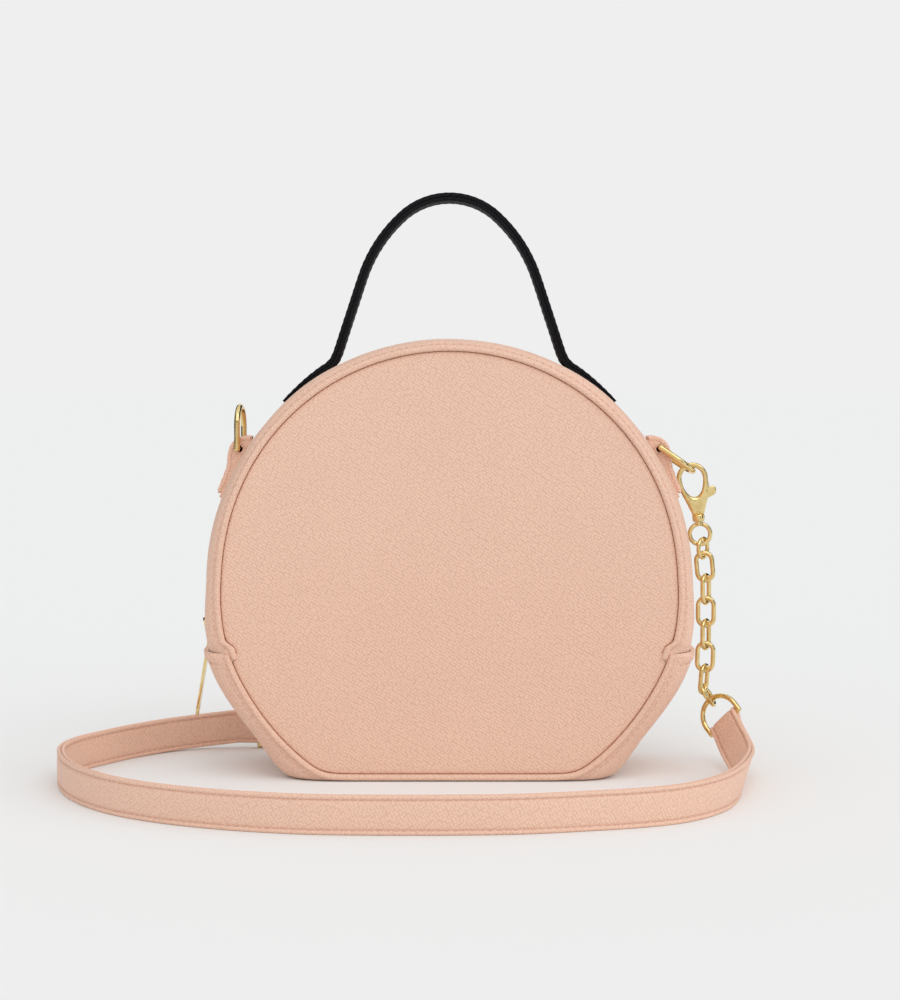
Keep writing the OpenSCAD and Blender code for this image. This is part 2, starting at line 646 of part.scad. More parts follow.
// Turns a piece so that its Z runs along dir and its X towards side
module facing(at, dir, side) {
    x = unit(side - (side * dir) * dir);
    y = cross(dir, x);
    multmatrix([[x.x, y.x, dir.x, at.x], [x.y, y.y, dir.y, at.y], [x.z, y.z, dir.z, at.z],
        [0, 0, 0, 1]]) children();
}
module chain(start, dirs, sides) {
    for (i = [0:link_count - 1]) {
        a = meets(start, dirs, i);
        b = meets(start, dirs, i + 1);
        facing((a + b) / 2, unit(b - a), sides[i]) oval_link();
    }
}
jump_w = 10.1;
jump_d = 1.8;
near_jump = [110.2, tab_y, 95.2];
near_start = [110.5, tab_y, 92.1];
near_dirs = [[0.1, 0, -1], [0.02, 0.02, -1], [0, 0, -1], [0, 0, -1], [-0.03, 0.03, -1],
    [-0.05, 0.15, -1], [0.49, 0.66, -0.56]];
face_on = [0.98, -0.2, 0];
edge_on = [0.5, 0.87, 0];
near_sides = [face_on, edge_on, face_on, edge_on, face_on, edge_on, [-0.16, 0.64, 0.61]];
far_start = [-77.4, 48, 7.2];
far_dirs = [[0.93, 0, -0.37], [1, 0.05, 0], [1, 0.1, 0], [1, 0.05, 0], [1, -0.05, 0], [1, 0, 0],
    [1, 0.04, 0]];
rise = [0, 1, 1];
dip = [0, 1, -1];
far_sides = [[0, 1, 0], rise, dip, rise, dip, rise, dip];
module chain_near() {
    color(gold) chain(near_start, near_dirs, near_sides);
}
module chain_far() {
    color(gold) chain(far_start, far_dirs, far_sides);
}
module jump_ring() {
    rotate([90, 0, 0]) rotate_extrude() translate([(jump_w - jump_d) / 2, 0])
        circle(d = jump_d, $fn = 24);
}
module jump_ring_near() {
    color(gold) translate(near_jump) rotate([0, 0, 56]) jump_ring();
}
module jump_ring_far() {
    at = meets(far_start, far_dirs, link_count);
    color(gold) translate([at.x + 3.1, at.y, at.z]) rotate([-45, 0, 0]) jump_ring();
}

// Strap: a flat leather band that stands on its edge on the floor
strap_ring_wire = 2.2;
strap_ring_inner = strap_w + 0.4;
strap_ring_h = 12.3;
near_bar = [120.7, 6.1, 18.6];
near_across = unit([0.62, -0.33, 0.7]);
near_away = unit([0.12, -0.86, -0.5]);
near_arch = [0.47, -0.47, -0.75];
far_bar = [-87, 48, strap_ring_inner / 2 + strap_ring_wire];
strap_floor = strap_w / 2;
fold_l = 9;
strap_path = [
    [121.8, -0.8, 14.4], [123.2, -10, 10.9], [125.1, -20, 8.7], [125.6, -30, 7.6],
    [124.6, -42, strap_floor], [121.9, -57, strap_floor], [117.5, -75, strap_floor],
    [111.3, -91, strap_floor], [101.5, -105.5, strap_floor], [88, -117, strap_floor],
    [72, -124.3, strap_floor], [56, -129, strap_floor],
    [28, -135.5, strap_floor], [0, -137.5, strap_floor], [-28, -137.5, strap_floor],
    [-56, -135.5, strap_floor], [-84, -128, strap_floor], [-109, -116.5, strap_floor],
    [-130, -101, strap_floor], [-146, -81, strap_floor], [-157, -58, strap_floor],
    [-163, -32, strap_floor], [-160.5, -12, strap_floor], [-152, 5, strap_floor],
    [-141, 22, strap_floor], [-128, 36, strap_floor + 0.3], [-113, 45, strap_floor + 1],
    [-97, 48, far_bar.z]];
// Which way the strap's upper edge points at each of its first points
strap_ups = [near_across, [0.7, -0.25, 0.66], [0.5, -0.05, 0.86], [0.25, 0.05, 0.97],
    [0.08, 0, 1], [0, 0, 1]];
function strap_up(i, n) =
    let (k = floor(i / n), m = len(strap_ups) - 1)
    k >= m ? strap_ups[m] : unit(lerp(strap_ups[k], strap_ups[k + 1], (i % n) / n));
module strap() {
    n = 3;
    line = curve(strap_path, n);
    w = strap_w / 2;
    t = strap_t / 2;
    c = 0.9;
    section = [[w, t - c], [w - c, t], [c - w, t], [-w, t - c], [-w, c - t], [c - w, -t],
        [w - c, -t], [w, c - t]];
    color(blush) sweep(turned_over([for (i = [0:len(line) - 1])
        let (along = ahead(line, i), out = unit(cross(along, strap_up(i, n))),
             up = cross(out, along))
        [for (s = section) line[i] + s.x * up + s.y * out]]));
}
// The strap's end folded round the bar of its ring, with the bar along Y
module strap_fold(tail) {
    difference() {
        union() {
            rotate([90, 0, 0]) cylinder(r = 2.6, h = strap_w, center = true, $fn = 32);
            translate([0, -strap_w / 2, -strap_t / 2]) cube([tail, strap_w, strap_t]);
        }
        rotate([90, 0, 0]) cylinder(d = strap_ring_wire + 0.1, h = 40, center = true, $fn = 24);
    }
}
// Turns a piece so that its Y runs along across and its X along away
module turned(at, across, away) {
    z = unit(cross(away, across));
    x = cross(across, z);
    multmatrix([[x.x, across.x, z.x, at.x], [x.y, across.y, z.y, at.y], [x.z, across.z, z.z, at.z],
        [0, 0, 0, 1]]) children();
}
module strap_fold_near() {
    color(blush) turned(near_bar, near_across, near_away) strap_fold(7.4);
}
module strap_fold_far() {
    color(blush) turned(far_bar, [0, 0, 1], [-1, 0, 0]) strap_fold(fold_l);
}
module strap_ring_near() {
    color(gold) turned(near_bar, near_across, near_arch)
        rotate([0, -90, 0]) d_ring(strap_ring_inner, strap_ring_h, strap_ring_wire);
}
module strap_ring_far() {
    color(gold) turned(far_bar, [0, 0, 1], [-1, 0, 0])
        rotate([0, -90, 0]) d_ring(strap_ring_inner, strap_ring_h, strap_ring_wire);
}

front_panel();
front_board();
front_lining();
front_piping_upper();
front_piping_lower();
front_gusset();
front_gusset_lining();
base_gusset();
base_board();
base_lining();
back_panel_lower();
back_lining_lower();
back_piping_lower();
back_piping_ends();
back_gusset_ends();
zip_tape_front();
zip_teeth_front();
zip_tape_ends();
zip_teeth_ends();
zip_stops();
handle_outer();
handle_inner();
ring_tab_left();
ring_tab_right();
strap();
strap_fold_near();
strap_fold_far();
strap_ring_near();
strap_ring_far();
chain_near();
chain_far();
jump_ring_near();
jump_ring_far();
clasp_eye_near();
clasp_eye_far();
back_panel();
back_board();
back_lining();
back_piping();
back_gusset();
zip_tape_back();
zip_teeth_back();
zip_slider();
zip_pull();
d_ring_left();
d_ring_right();
clasp_body_near();
clasp_pin_near();
clasp_spring_near();
clasp_gate_near();
clasp_body_far();
clasp_pin_far();
clasp_spring_far();
clasp_gate_far();
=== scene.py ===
"""Round blush leather handbag with a black top handle and a strap on gilt chains."""
import json
import math
import bpy
import bmesh
from mathutils import Matrix, Vector, noise


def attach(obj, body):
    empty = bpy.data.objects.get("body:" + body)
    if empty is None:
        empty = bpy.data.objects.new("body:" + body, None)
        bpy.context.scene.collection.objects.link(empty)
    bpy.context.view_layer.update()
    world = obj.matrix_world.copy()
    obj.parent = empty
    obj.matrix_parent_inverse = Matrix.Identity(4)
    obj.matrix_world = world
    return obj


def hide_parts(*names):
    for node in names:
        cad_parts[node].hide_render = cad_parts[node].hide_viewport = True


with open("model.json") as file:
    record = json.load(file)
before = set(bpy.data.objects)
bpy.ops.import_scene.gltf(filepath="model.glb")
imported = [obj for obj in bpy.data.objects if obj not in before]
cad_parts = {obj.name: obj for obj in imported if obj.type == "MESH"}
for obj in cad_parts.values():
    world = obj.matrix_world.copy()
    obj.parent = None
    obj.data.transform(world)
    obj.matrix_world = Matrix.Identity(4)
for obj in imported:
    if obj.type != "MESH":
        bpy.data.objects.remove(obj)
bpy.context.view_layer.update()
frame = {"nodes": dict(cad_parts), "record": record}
MM = 0.001

# Outlines, in millimetres and degrees

# An angle d runs from straight down, 0, to the right, 90, and over the top, 180. Two closed
# lines shape the bag: the panel's seam and the gusset's crown.
GUSSET_R, GUSSET_Z = 105.0, 80.5        # upper gusset, about the zip circle's centre
PANEL_R, PANEL_Z = 95.0, 85.3           # seam round each panel, about the panel's centre
PANEL_FLOOR = 3.0                       # height of the panel's flat bottom seam
PANEL_FULL, PANEL_HIP = 3.4, 1.4        # fuller than a circle low down, and beside the hem
HIP_D, HIP_WIDE = 74, 16                # where the hip lies and how far it spreads
LEATHER, PIPING = 1.6, 2.7              # thickness of the gusset, width of the piping
SEAM_Y, SHOULDER_Y = 33.6, 22.5         # depth of the panel's seam, and where the shoulder starts
ZIP_Y, ZIP_GAP = 18.5, 4.0              # depth of the zip's middle, half the gap for its tapes
HEM_D, FOLD_D, LAP = 74.0, 86.0, 2.0    # hem between base and crown, fold of the back, overlap
FOLD_Z = 77.5                           # height of the fold across the back
PANEL_CORNER, BASE_CORNER = 32.5, 40.6  # where the flat bottoms of panel and base start
BASE_R, BASE_LAP = 106.0, 3.1           # base gusset, and how far it stands out under the hem
HEM_BELOW = 16                          # degrees from the zip circle's centre down to the hem
MM_PER_DEG = 1.92                       # arc length of one degree at the hem
HEM_GROOVE = 4.6                        # stitched groove under the hem's roll, from its edge
TUCK_IN, TUCK_FROM, TUCK_RUN = 2.9, 13, 2.6   # the upper piping tucks in behind the lower one
CROWN_IN, HEM_RISE, FLARE = 2.4, 1.5, 2.3     # drawn-in sides, level hem, flare to the hem


def clamp01(t):
    return max(0.0, min(1.0, t))


def ease(t):
    u = clamp01(t)
    return u * u * (3 - 2 * u)


def sin(a):
    return math.sin(math.radians(a))


def cos(a):
    return math.cos(math.radians(a))


def lerp(a, b, t):
    return a + (b - a) * t


def spread(a, b, step):
    """Even values from a to b, at most step apart."""
    n = max(1, math.ceil(abs(b - a) / step - 1e-6))
    return [a + (b - a) * i / n for i in range(n + 1)]


def soft_min(a, b, k):
    """The smaller of two lengths, with a rounded change from one to the other."""
    return (a ** -k + b ** -k) ** (-1 / k)


def from_bottom(d):
    """Degrees from straight down, on either side."""
    return abs(360 - d if d > 180 else d)


def below(d):
    """Degrees below the level of the zip circle's centre."""
    return 90 - from_bottom(d)


def panel_turn(d):
    """The panel's own angle where the gusset's is d, so that their flat bottoms agree."""
    a = from_bottom(d)
    s = -1 if d > 180 else (d > 0) - (d < 0)
    if a < BASE_CORNER:
        return s * a * PANEL_CORNER / BASE_CORNER
    if a < 90:
        return s * lerp(PANEL_CORNER, 90, (a - BASE_CORNER) / (90 - BASE_CORNER))
    return s * a


def panel_pt(d, off):
    """A point of the panel's outline, off millimetres outside its seam."""
    t = panel_turn(d)
    c = cos(t)
    hip = PANEL_HIP * math.exp(-((abs(t) - HIP_D) / HIP_WIDE) ** 2)
    r = PANEL_R + off + PANEL_FULL * max(0, c) + hip
    q = soft_min(r, (PANEL_Z - PANEL_FLOOR + off) / c, 60) if c > 0.2 else r
    return Vector((q * sin(t), PANEL_Z - q * c))


def tuck(d):
    """How far the upper piping tucks in as it nears the hem."""
    return TUCK_IN * ease((below(d) - TUCK_FROM) / TUCK_RUN)


def crown(d, y):
    """How much the gusset's front draws in at the sides of the bag."""
    a = from_bottom(d)
    return CROWN_IN * ease((-y - 2) / 20.5) * ease((a - 40) / 14) * ease((150 - a) / 40)


def risen(d, w, y):
    """The hem runs level at the front, so the base reaches a little higher there."""
    s = (d > 0) - (d < 0)
    return d + s * HEM_RISE * w * ease((abs(d) - HEM_D + 10) / 10) * ease((12 - y) / 10)


def upper_pt(d, off):
    """A point of the upper gusset's crown line, off millimetres outside it."""
    r = GUSSET_R + off + FLARE * ease((below(d) + 2) / 15)
    return Vector((r * sin(d), GUSSET_Z - r * cos(d)))


def hem_roll(x):
    """The hem's folded roll and the stitched groove under it, x millimetres from its edge."""
    roll = 0.85 * max(0.0, sin(180 * clamp01(x / 4.2))) ** 0.5
    return roll - 0.3 * math.exp(-((x - HEM_GROOVE) / 0.4) ** 2)


def base_pt(d, off, edge):
    """A point of the base gusset's crown line; edge is the hem's place below the centre."""
    e = below(d)
    lap = BASE_LAP * (0.5 + 0.5 * cos(180 * clamp01((e - HEM_BELOW) / 24)))
    r = BASE_R + off + lap + hem_roll((e - edge) * MM_PER_DEG)
    c = cos(d)
    q = soft_min(r, (GUSSET_Z + off) / c, 80) if c > 0.2 else r
    return Vector((q * sin(d), GUSSET_Z - q * c))


def upper_skin(d, w, off, y):
    """The upper gusset at share w of the way from the piping to the crown line."""
    return panel_pt(d, off + PIPING - tuck(d)).lerp(upper_pt(d, off - crown(d, y)), w)


def base_skin(d, w, off, y):
    """The base gusset at share w of the way from the piping to its crown line."""
    e = risen(d, w, y)
    edge = HEM_BELOW - (risen(HEM_D, w, y) - HEM_D)
    return panel_pt(e, off + PIPING).lerp(base_pt(e, off - crown(e, y), edge), w)


# Meshes

def piece(name, verts, faces, material, body, smooth=True, hide=None):
    """A mesh object from points in millimetres; hide says where each lies on the flat leather."""
    mesh = bpy.data.meshes.new(name)
    mesh.from_pydata([Vector(v) * MM for v in verts], [], faces)
    if hide:
        data = mesh.attributes.new("grain", "FLOAT_VECTOR", "POINT").data
        data.foreach_set("vector", [c for u, v in hide for c in (u, v, 0.0)])
    bm = bmesh.new()
    bm.from_mesh(mesh)
    bmesh.ops.remove_doubles(bm, verts=bm.verts, dist=1e-7)
    bmesh.ops.recalc_face_normals(bm, faces=bm.faces)
    bm.to_mesh(mesh)
    bm.free()
    obj = bpy.data.objects.new(name, mesh)
    bpy.context.collection.objects.link(obj)
    mesh.materials.append(material)
    if smooth:
        mesh.polygons.foreach_set("use_smooth", [True] * len(mesh.polygons))
    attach(obj, body)
    return obj


def sweep(name, loops, material, body):
    """A closed skin through loops of points, with a cap at each end."""
    n, m = len(loops[0]), len(loops)
    verts = [p for loop in loops for p in loop]
    faces = []
    for i in range(m - 1):
        for j in range(n):
            k = (j + 1) % n
            faces.append((i * n + j, i * n + k, (i + 1) * n + k, (i + 1) * n + j))
    faces.append(tuple(range(n - 1, -1, -1)))
    faces.append(tuple(range((m - 1) * n, m * n)))
    hide, u = [], 0.0
    for i, loop in enumerate(loops):
        if i:
            u += sum((Vector(p) - Vector(q)).length for p, q in zip(loop, loops[i - 1])) / n
        v = 0.0
        for j, p in enumerate(loop):
            v += (Vector(p) - Vector(loop[j - 1])).length if j else 0.0
            hide.append((u, v))
    return piece(name, verts, faces, material, body, hide=hide)


def rounded_section(half_w, half_t, r):
    """Points round a flat band's section with rounded edges, as (across, out)."""
    pts, steps = [], 4
    for cx, cy, a0 in ((half_w - r, half_t - r, 0), (r - half_w, half_t - r, 90),
                       (r - half_w, r - half_t, 180), (half_w - r, r - half_t, 270)):
        for k in range(steps + 1):
            a = a0 + 90 * k / steps
            pts.append((cx + r * cos(a), cy + r * sin(a)))
    return pts


def curve_points(p, n):
    """A smooth line through the given points, n steps between each two."""
    p = [Vector(q) for q in p]
    out = []
    for i in range(len(p) - 1):
        a, b, c, d = p[max(0, i - 1)], p[i], p[i + 1], p[min(len(p) - 1, i + 2)]
        for k in range(n):
            t = k / n
            out.append(0.5 * (2 * b + (c - a) * t + (2 * a - 5 * b + 4 * c - d) * t * t
                              + (3 * b - a - 3 * c + d) * t ** 3))
    out.append(p[-1])
    return out


def ahead(p, i):
    """Direction of a line of points at its point i."""
    return (p[min(len(p) - 1, i + 1)] - p[max(0, i - 1)]).normalized()


# Materials

def linear(code):
    """An sRGB hex colour as linear values."""
    v = [int(code[i:i + 2], 16) / 255 for i in (0, 2, 4)]
    return tuple(c / 12.92 if c <= 0.04045 else ((c + 0.055) / 1.055) ** 2.4 for c in v) + (1.0,)


def add(tree, kind, links=None, **values):
    """Adds a node; values set its sockets or properties, links join its sockets to outputs."""
    node = tree.nodes.new(kind)
    settings = {key: value for key, value in values.items() if hasattr(node, key)}
    for key, value in settings.items():
        setattr(node, key, value)
    for key in values.keys() - settings.keys():
        numbered = key.startswith("in") and key[2:].isdigit()
        socket = int(key[2:]) if numbered else key.replace("_", " ")
        node.inputs[socket].default_value = values[key]
    for key, out in (links or {}).items():
        tree.links.new(out, node.inputs[key])
    return node


def new_material(name, **shader):
    """A material whose shader has the given values."""
    mat = bpy.data.materials.new(name)
    mat.use_nodes = True
    tree = mat.node_tree
    bsdf = tree.nodes["Principled BSDF"]
    for key, value in shader.items():
        bsdf.inputs[key.replace("_", " ")].default_value = value
    return mat, tree, bsdf


def finish_look(tree, bsdf, colour, bump):
    """Joins a colour ramp and a bump to the shader."""
    tree.links.new(colour.outputs["Color"], bsdf.inputs["Base Color"])
    tree.links.new(bump.outputs["Normal"], bsdf.inputs["Normal"])


def ramp(tree, fac, stops):
    """A colour ramp from (position, sRGB hex) stops."""
    node = add(tree, "ShaderNodeValToRGB", {"Fac": fac})
    els = node.color_ramp.elements
    while len(els) < len(stops):
        els.new(0.5)
    for el, (pos, col) in zip(els, stops):
        el.position = pos
        el.color = linear(col)
    return node


def grained_leather(name, dark, light, grain_mm, depth, rough, shine=0.35, flat=False):
    """Chrome-tanned leather with an embossed pebble grain: low bumps in slanting rows, painted
    shade in the valleys, a painted highlight on the pebble tops, and a soft sheen. The grain lies
    in the
    "grain" attribute of a piece, in millimetres along the leather, or on the XZ plane where flat."""
    mat, tree, bsdf = new_material(name, Roughness=rough, Specular_IOR_Level=shine)
    where = add(tree, "ShaderNodeTexCoord").outputs["Object"]
    if flat:
        parts = add(tree, "ShaderNodeSeparateXYZ", {0: where})
        wall = add(tree, "ShaderNodeCombineXYZ", {0: parts.outputs[0], 1: parts.outputs[2]})
        hide = add(tree, "ShaderNodeMapping", {"Vector": wall.outputs[0]},
                   Scale=(1000, 1000, 1000)).outputs[0]
    else:
        hide = add(tree, "ShaderNodeAttribute", attribute_name="grain").outputs["Vector"]
    warp = add(tree, "ShaderNodeTexNoise", {"Vector": hide}, Scale=0.12 / grain_mm, Detail=1.0)
    bend = add(tree, "ShaderNodeVectorMath", {0: warp.outputs["Color"], 2: hide},
               operation="MULTIPLY_ADD", in1=(2.0 * grain_mm,) * 3)
    rows = add(tree, "ShaderNodeMapping", {"Vector": bend.outputs[0]}, Rotation=(0, 0, 0.52),
               Scale=(1 / grain_mm, 0.92 / grain_mm, 1))
    pebble = add(tree, "ShaderNodeTexVoronoi", {"Vector": rows.outputs[0]}, feature="SMOOTH_F1",
                 voronoi_dimensions="2D", Scale=1.0, Smoothness=0.6, Randomness=0.42)
    hill = add(tree, "ShaderNodeMapRange", {"Value": pebble.outputs["Distance"]}, From_Min=0.6,
               From_Max=0.0)
    pores = add(tree, "ShaderNodeTexNoise", {"Vector": hide}, Scale=3 / grain_mm, Detail=2.0)
    height = add(tree, "ShaderNodeMath", {0: pores.outputs["Fac"], 2: hill.outputs[0]},
                 operation="MULTIPLY_ADD", in1=0.1)
    bump = add(tree, "ShaderNodeBump", {"Height": height.outputs[0]}, Strength=1.0,
               Distance=depth * MM)
    # The colour mixes random patches of tone with the pebble height. The valleys get painted shade
    # and the pebble tops get a painted highlight.
    patches = add(tree, "ShaderNodeTexNoise", {"Vector": where}, Scale=18, Detail=2.0)
    shade = add(tree, "ShaderNodeMath", {0: patches.outputs["Fac"], 2: height.outputs[0]},
                operation="MULTIPLY_ADD", in1=0.22)
    colour = ramp(tree, shade.outputs[0], [(0.1, dark), (1.1, light)])
    finish_look(tree, bsdf, colour, bump)
    return mat


def polished_metal(name, colour, rough, wear):
    """Plated zinc or brass, polished: sharp highlights with faint blotches of wear, about 4 mm
    across, which is coarser than real so that they show."""
    mat, tree, bsdf = new_material(name, Metallic=1.0, Roughness=rough)
    where = add(tree, "ShaderNodeTexCoord").outputs["Object"]
    cloud = add(tree, "ShaderNodeTexNoise", {"Vector": where}, Scale=260, Detail=4.0)
    level = add(tree, "ShaderNodeMapRange", {"Value": cloud.outputs["Fac"]},
                To_Min=rough - wear, To_Max=rough + wear)
    tint = ramp(tree, cloud.outputs["Fac"], [(0.3, colour[0]), (0.7, colour[1])])
    bump = add(tree, "ShaderNodeBump", {"Height": cloud.outputs["Fac"]}, Strength=0.25,
               Distance=0.00004)
    tree.links.new(level.outputs[0], bsdf.inputs["Roughness"])
    finish_look(tree, bsdf, tint, bump)
    return mat


def woven(name, dark, light, thread_mm):
    """Woven polyester: crossing threads thread_mm apart, matt with a slight sheen."""
    mat, tree, bsdf = new_material(name, Roughness=0.85, Sheen_Weight=0.25)
    where = add(tree, "ShaderNodeTexCoord").outputs["Object"]
    sep = add(tree, "ShaderNodeSeparateXYZ", {0: where})
    waves = []
    for axis in (0, 1, 2):
        turn = add(tree, "ShaderNodeMath", {0: sep.outputs[axis]}, operation="MULTIPLY",
                   in1=math.pi * 1000 / thread_mm)
        waves.append(add(tree, "ShaderNodeMath", {0: turn.outputs[0]}, operation="SINE"))
    mix = add(tree, "ShaderNodeMath", {0: waves[0].outputs[0], 1: waves[1].outputs[0]},
              operation="MULTIPLY")
    mix = add(tree, "ShaderNodeMath", {0: mix.outputs[0], 1: waves[2].outputs[0]}, operation="ADD")
    fac = add(tree, "ShaderNodeMapRange", {"Value": mix.outputs[0]}, From_Min=-2, From_Max=2)
    colour = ramp(tree, fac.outputs[0], [(0.2, dark), (0.8, light)])
    bump = add(tree, "ShaderNodeBump", {"Height": fac.outputs[0]}, Strength=0.6, Distance=0.0002)
    finish_look(tree, bsdf, colour, bump)
    return mat


def speckled(name, dark, light, scale, rough):
    """Pressed board, paint or thread: one colour with a fine mottle."""
    mat, tree, bsdf = new_material(name, Roughness=rough)
    where = add(tree, "ShaderNodeTexCoord").outputs["Object"]
    cloud = add(tree, "ShaderNodeTexNoise", {"Vector": where}, Scale=scale, Detail=5.0)
    colour = ramp(tree, cloud.outputs["Fac"], [(0.3, dark), (0.7, light)])
    bump = add(tree, "ShaderNodeBump", {"Height": cloud.outputs["Fac"]}, Strength=0.3,
               Distance=0.00015)
    finish_look(tree, bsdf, colour, bump)
    return mat


# Embossed cowhide, pigment finish: 1.15 mm pebbles, satin, with light caught on each pebble,
# partly by the bump and partly by a painted highlight, and painted shade in the valleys.
BLUSH = ("E2B8A2", "F6CFB8", 1.15, 0.24, 0.5)
blush_leather = grained_leather("blush pebbled leather", *BLUSH)
blush_panel = grained_leather("blush pebbled leather, flat", *BLUSH, flat=True)
# Finely grained cowhide, dyed through: almost no shine, so its edges stay black. Its grain has
# painted shade in the valleys and a painted highlight on the pebble tops.
black_leather = grained_leather("black grained leather", "151517", "242427", 0.9, 0.08, 0.6, 0.03)
# Zinc casting with pale gold plating: mirrors the set in narrow bright lines.
light_gold = polished_metal("light gold plate", ("DCC080", "F2DCA2"), 0.11, 0.03)
# Hard drawn steel: a duller grey line inside the clasps.
spring_wire = polished_metal("drawn spring wire", ("8C8C90", "B4B4B8"), 0.3, 0.05)
# Polyester tape and twill: matt threads that the eye reads as cloth beside the leather.
tape_weave = woven("zip tape weave", "B08C78", "D8B4A0", 0.45)
lining_weave = woven("lining twill", "8C6F5C", "B4937E", 0.3)
# Pressed fibre board: flat brown with a fine mottle.
fibre_board = speckled("pressed fibre board", "7C6A58", "97846E", 600, 0.9)
# Twisted polyester thread: a little darker than its leather, so the rows read.
blush_thread = speckled("blush polyester thread", "D0A48F", "E9C2AF", 2500, 0.6)
black_thread = speckled("black polyester thread", "101010", "26262A", 2500, 0.55)

SLOT_LOOKS = {"blush_leather": blush_panel, "black_leather": black_leather,
              "lining": lining_weave, "zip_tape": tape_weave, "board": fibre_board,
              "gold_metal": light_gold, "spring_steel": spring_wire}
BODY_OF = {n: b for b, nodes in frame["record"]["behaviour"]["bodies"].items() for n in nodes}
for part in frame["record"]["subparts"]:
    node = frame["nodes"][part["node"]]
    node.data.materials.clear()
    node.data.materials.append(SLOT_LOOKS[part["material_slot"]])

# Camera and light

# Place, tilt and lens follow from the photograph's horizon and the bag's outline.
EYE_AT, EYE_TILT, LENS_MM = (0.00022, -0.91683, 0.17005), 3.349, 76.476
eye = bpy.data.cameras.new("camera")
camera = bpy.data.objects.new("camera", eye)
bpy.context.collection.objects.link(camera)
camera.location = EYE_AT
camera.rotation_euler = (math.radians(90 - EYE_TILT), 0, 0)
eye.sensor_width = 36.0
eye.lens = LENS_MM
eye.clip_end = 50
bpy.context.scene.camera = camera
bpy.context.scene.view_settings.view_transform = "Standard"


def backdrop_world():
    """Even soft light; the camera and mirrors see the pale backdrop."""
    world = bpy.data.worlds.new("studio")
    bpy.context.scene.world = world
    world.use_nodes = True
    tree = world.node_tree
    soft = tree.nodes["Background"]
    soft.inputs["Color"].default_value = (1, 1, 1, 1)
    soft.inputs["Strength"].default_value = 0.745
    pale = add(tree, "ShaderNodeBackground", Color=linear("EFEFEF"), Strength=1.0)
    path = add(tree, "ShaderNodeLightPath")
    seen = path.outputs["Is Camera Ray"]
    for ray in ("Is Transmission Ray", "Is Glossy Ray"):
        both = add(tree, "ShaderNodeMath", {0: seen, 1: path.outputs[ray]}, operation="MAXIMUM")
        seen = both.outputs[0]
    mix = add(tree, "ShaderNodeMixShader", {0: seen, 1: soft.outputs[0], 2: pale.outputs[0]})
    tree.links.new(mix.outputs[0], tree.nodes["World Output"].inputs["Surface"])


def sun(name, direction, strength, angle):
    """A far soft lamp that shines along direction."""
    data = bpy.data.lights.new(name, "SUN")
    data.energy = strength
    data.angle = math.radians(angle)
    obj = bpy.data.objects.new(name, data)
    bpy.context.collection.objects.link(obj)
    obj.rotation_euler = Vector(direction).to_track_quat("-Z", "Y").to_euler()


backdrop_world()
sun("key", (-0.2, 0.7, -0.9), 0.6, 50)
sun("side", (-0.95, 0.3, -0.2), 0.85, 80)
sun("fill", (0.8, 0.5, -0.3), 0.12, 80)


def floor():
    """A pale matt floor that runs out of sight."""
    mat, tree, bsdf = new_material("matt floor", Roughness=0.9, Specular_IOR_Level=0.0)
    bsdf.inputs["Base Color"].default_value = linear("F0F1F1")
    far = 20000
    obj = piece("floor", [(-far, -far, 0), (far, -far, 0), (far, far, 0), (-far, far, 0)],
                [(0, 1, 2, 3)], mat, "bag", smooth=False)


floor()


def card(name, x, y, z, wide, high):
    """A dark board beside the set, in metres, that only the metal mirrors."""
    mat, tree, bsdf = new_material(name, Roughness=1.0, Specular_IOR_Level=0.0)
    bsdf.inputs["Base Color"].default_value = linear("2C2419")
    side = Vector((-y, x, 0)).normalized() * wide / 2
    up = Vector((0, 0, high / 2))
    mid = Vector((x, y, z))
    corners = [(mid + a * side + b * up) / MM for a, b in ((-1, -1), (1, -1), (1, 1), (-1, 1))]
    obj = piece(name, corners, [(0, 1, 2, 3)], mat, "bag", smooth=False)
    obj.visible_camera = obj.visible_diffuse = obj.visible_shadow = False


for board in (("card_behind_left", -1.9, 2.4, 0.6, 2.4, 4.5),
              ("card_behind_right", 1.9, 2.4, 0.6, 2.4, 4.5),
              ("card_left", -3.0, 0.0, 0.9, 2.6, 3.4), ("card_right", 3.0, -0.5, 0.7, 1.9, 3.4),
              ("card_near_left", -2.1, -2.5, 0.6, 1.1, 3.0),
              ("card_near_right", 2.1, -2.5, 0.6, 0.9, 3.0),
              ("card_over", 0.5, -3.2, 1.9, 1.6, 0.6)):
    card(*board)


# Softened edges

def softened(node, width):
    """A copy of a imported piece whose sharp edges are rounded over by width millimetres."""
    mesh = frame["nodes"][node].data.copy()
    bm = bmesh.new()
    bm.from_mesh(mesh)
    bmesh.ops.remove_doubles(bm, verts=bm.verts, dist=2e-6)
    bmesh.ops.dissolve_limit(bm, angle_limit=math.radians(1.0), verts=bm.verts, edges=bm.edges)
    sharp = [e for e in bm.edges if e.is_manifold and
             e.calc_face_angle(0) > math.radians(32)]
    bmesh.ops.bevel(bm, geom=sharp, offset=width * MM, offset_type="OFFSET", segments=2,
                    profile=0.5, affect="EDGES", clamp_overlap=True)
    bmesh.ops.triangulate(bm, faces=[f for f in bm.faces if len(f.verts) > 4])
    bm.to_mesh(mesh)
    bm.free()
    mesh.polygons.foreach_set("use_smooth", [True] * len(mesh.polygons))
    obj = bpy.data.objects.new(node + "_soft", mesh)
    bpy.context.collection.objects.link(obj)
    mesh.set_sharp_from_angle(angle=math.radians(50))
    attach(obj, BODY_OF[node])
    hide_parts(node)


# Stitches

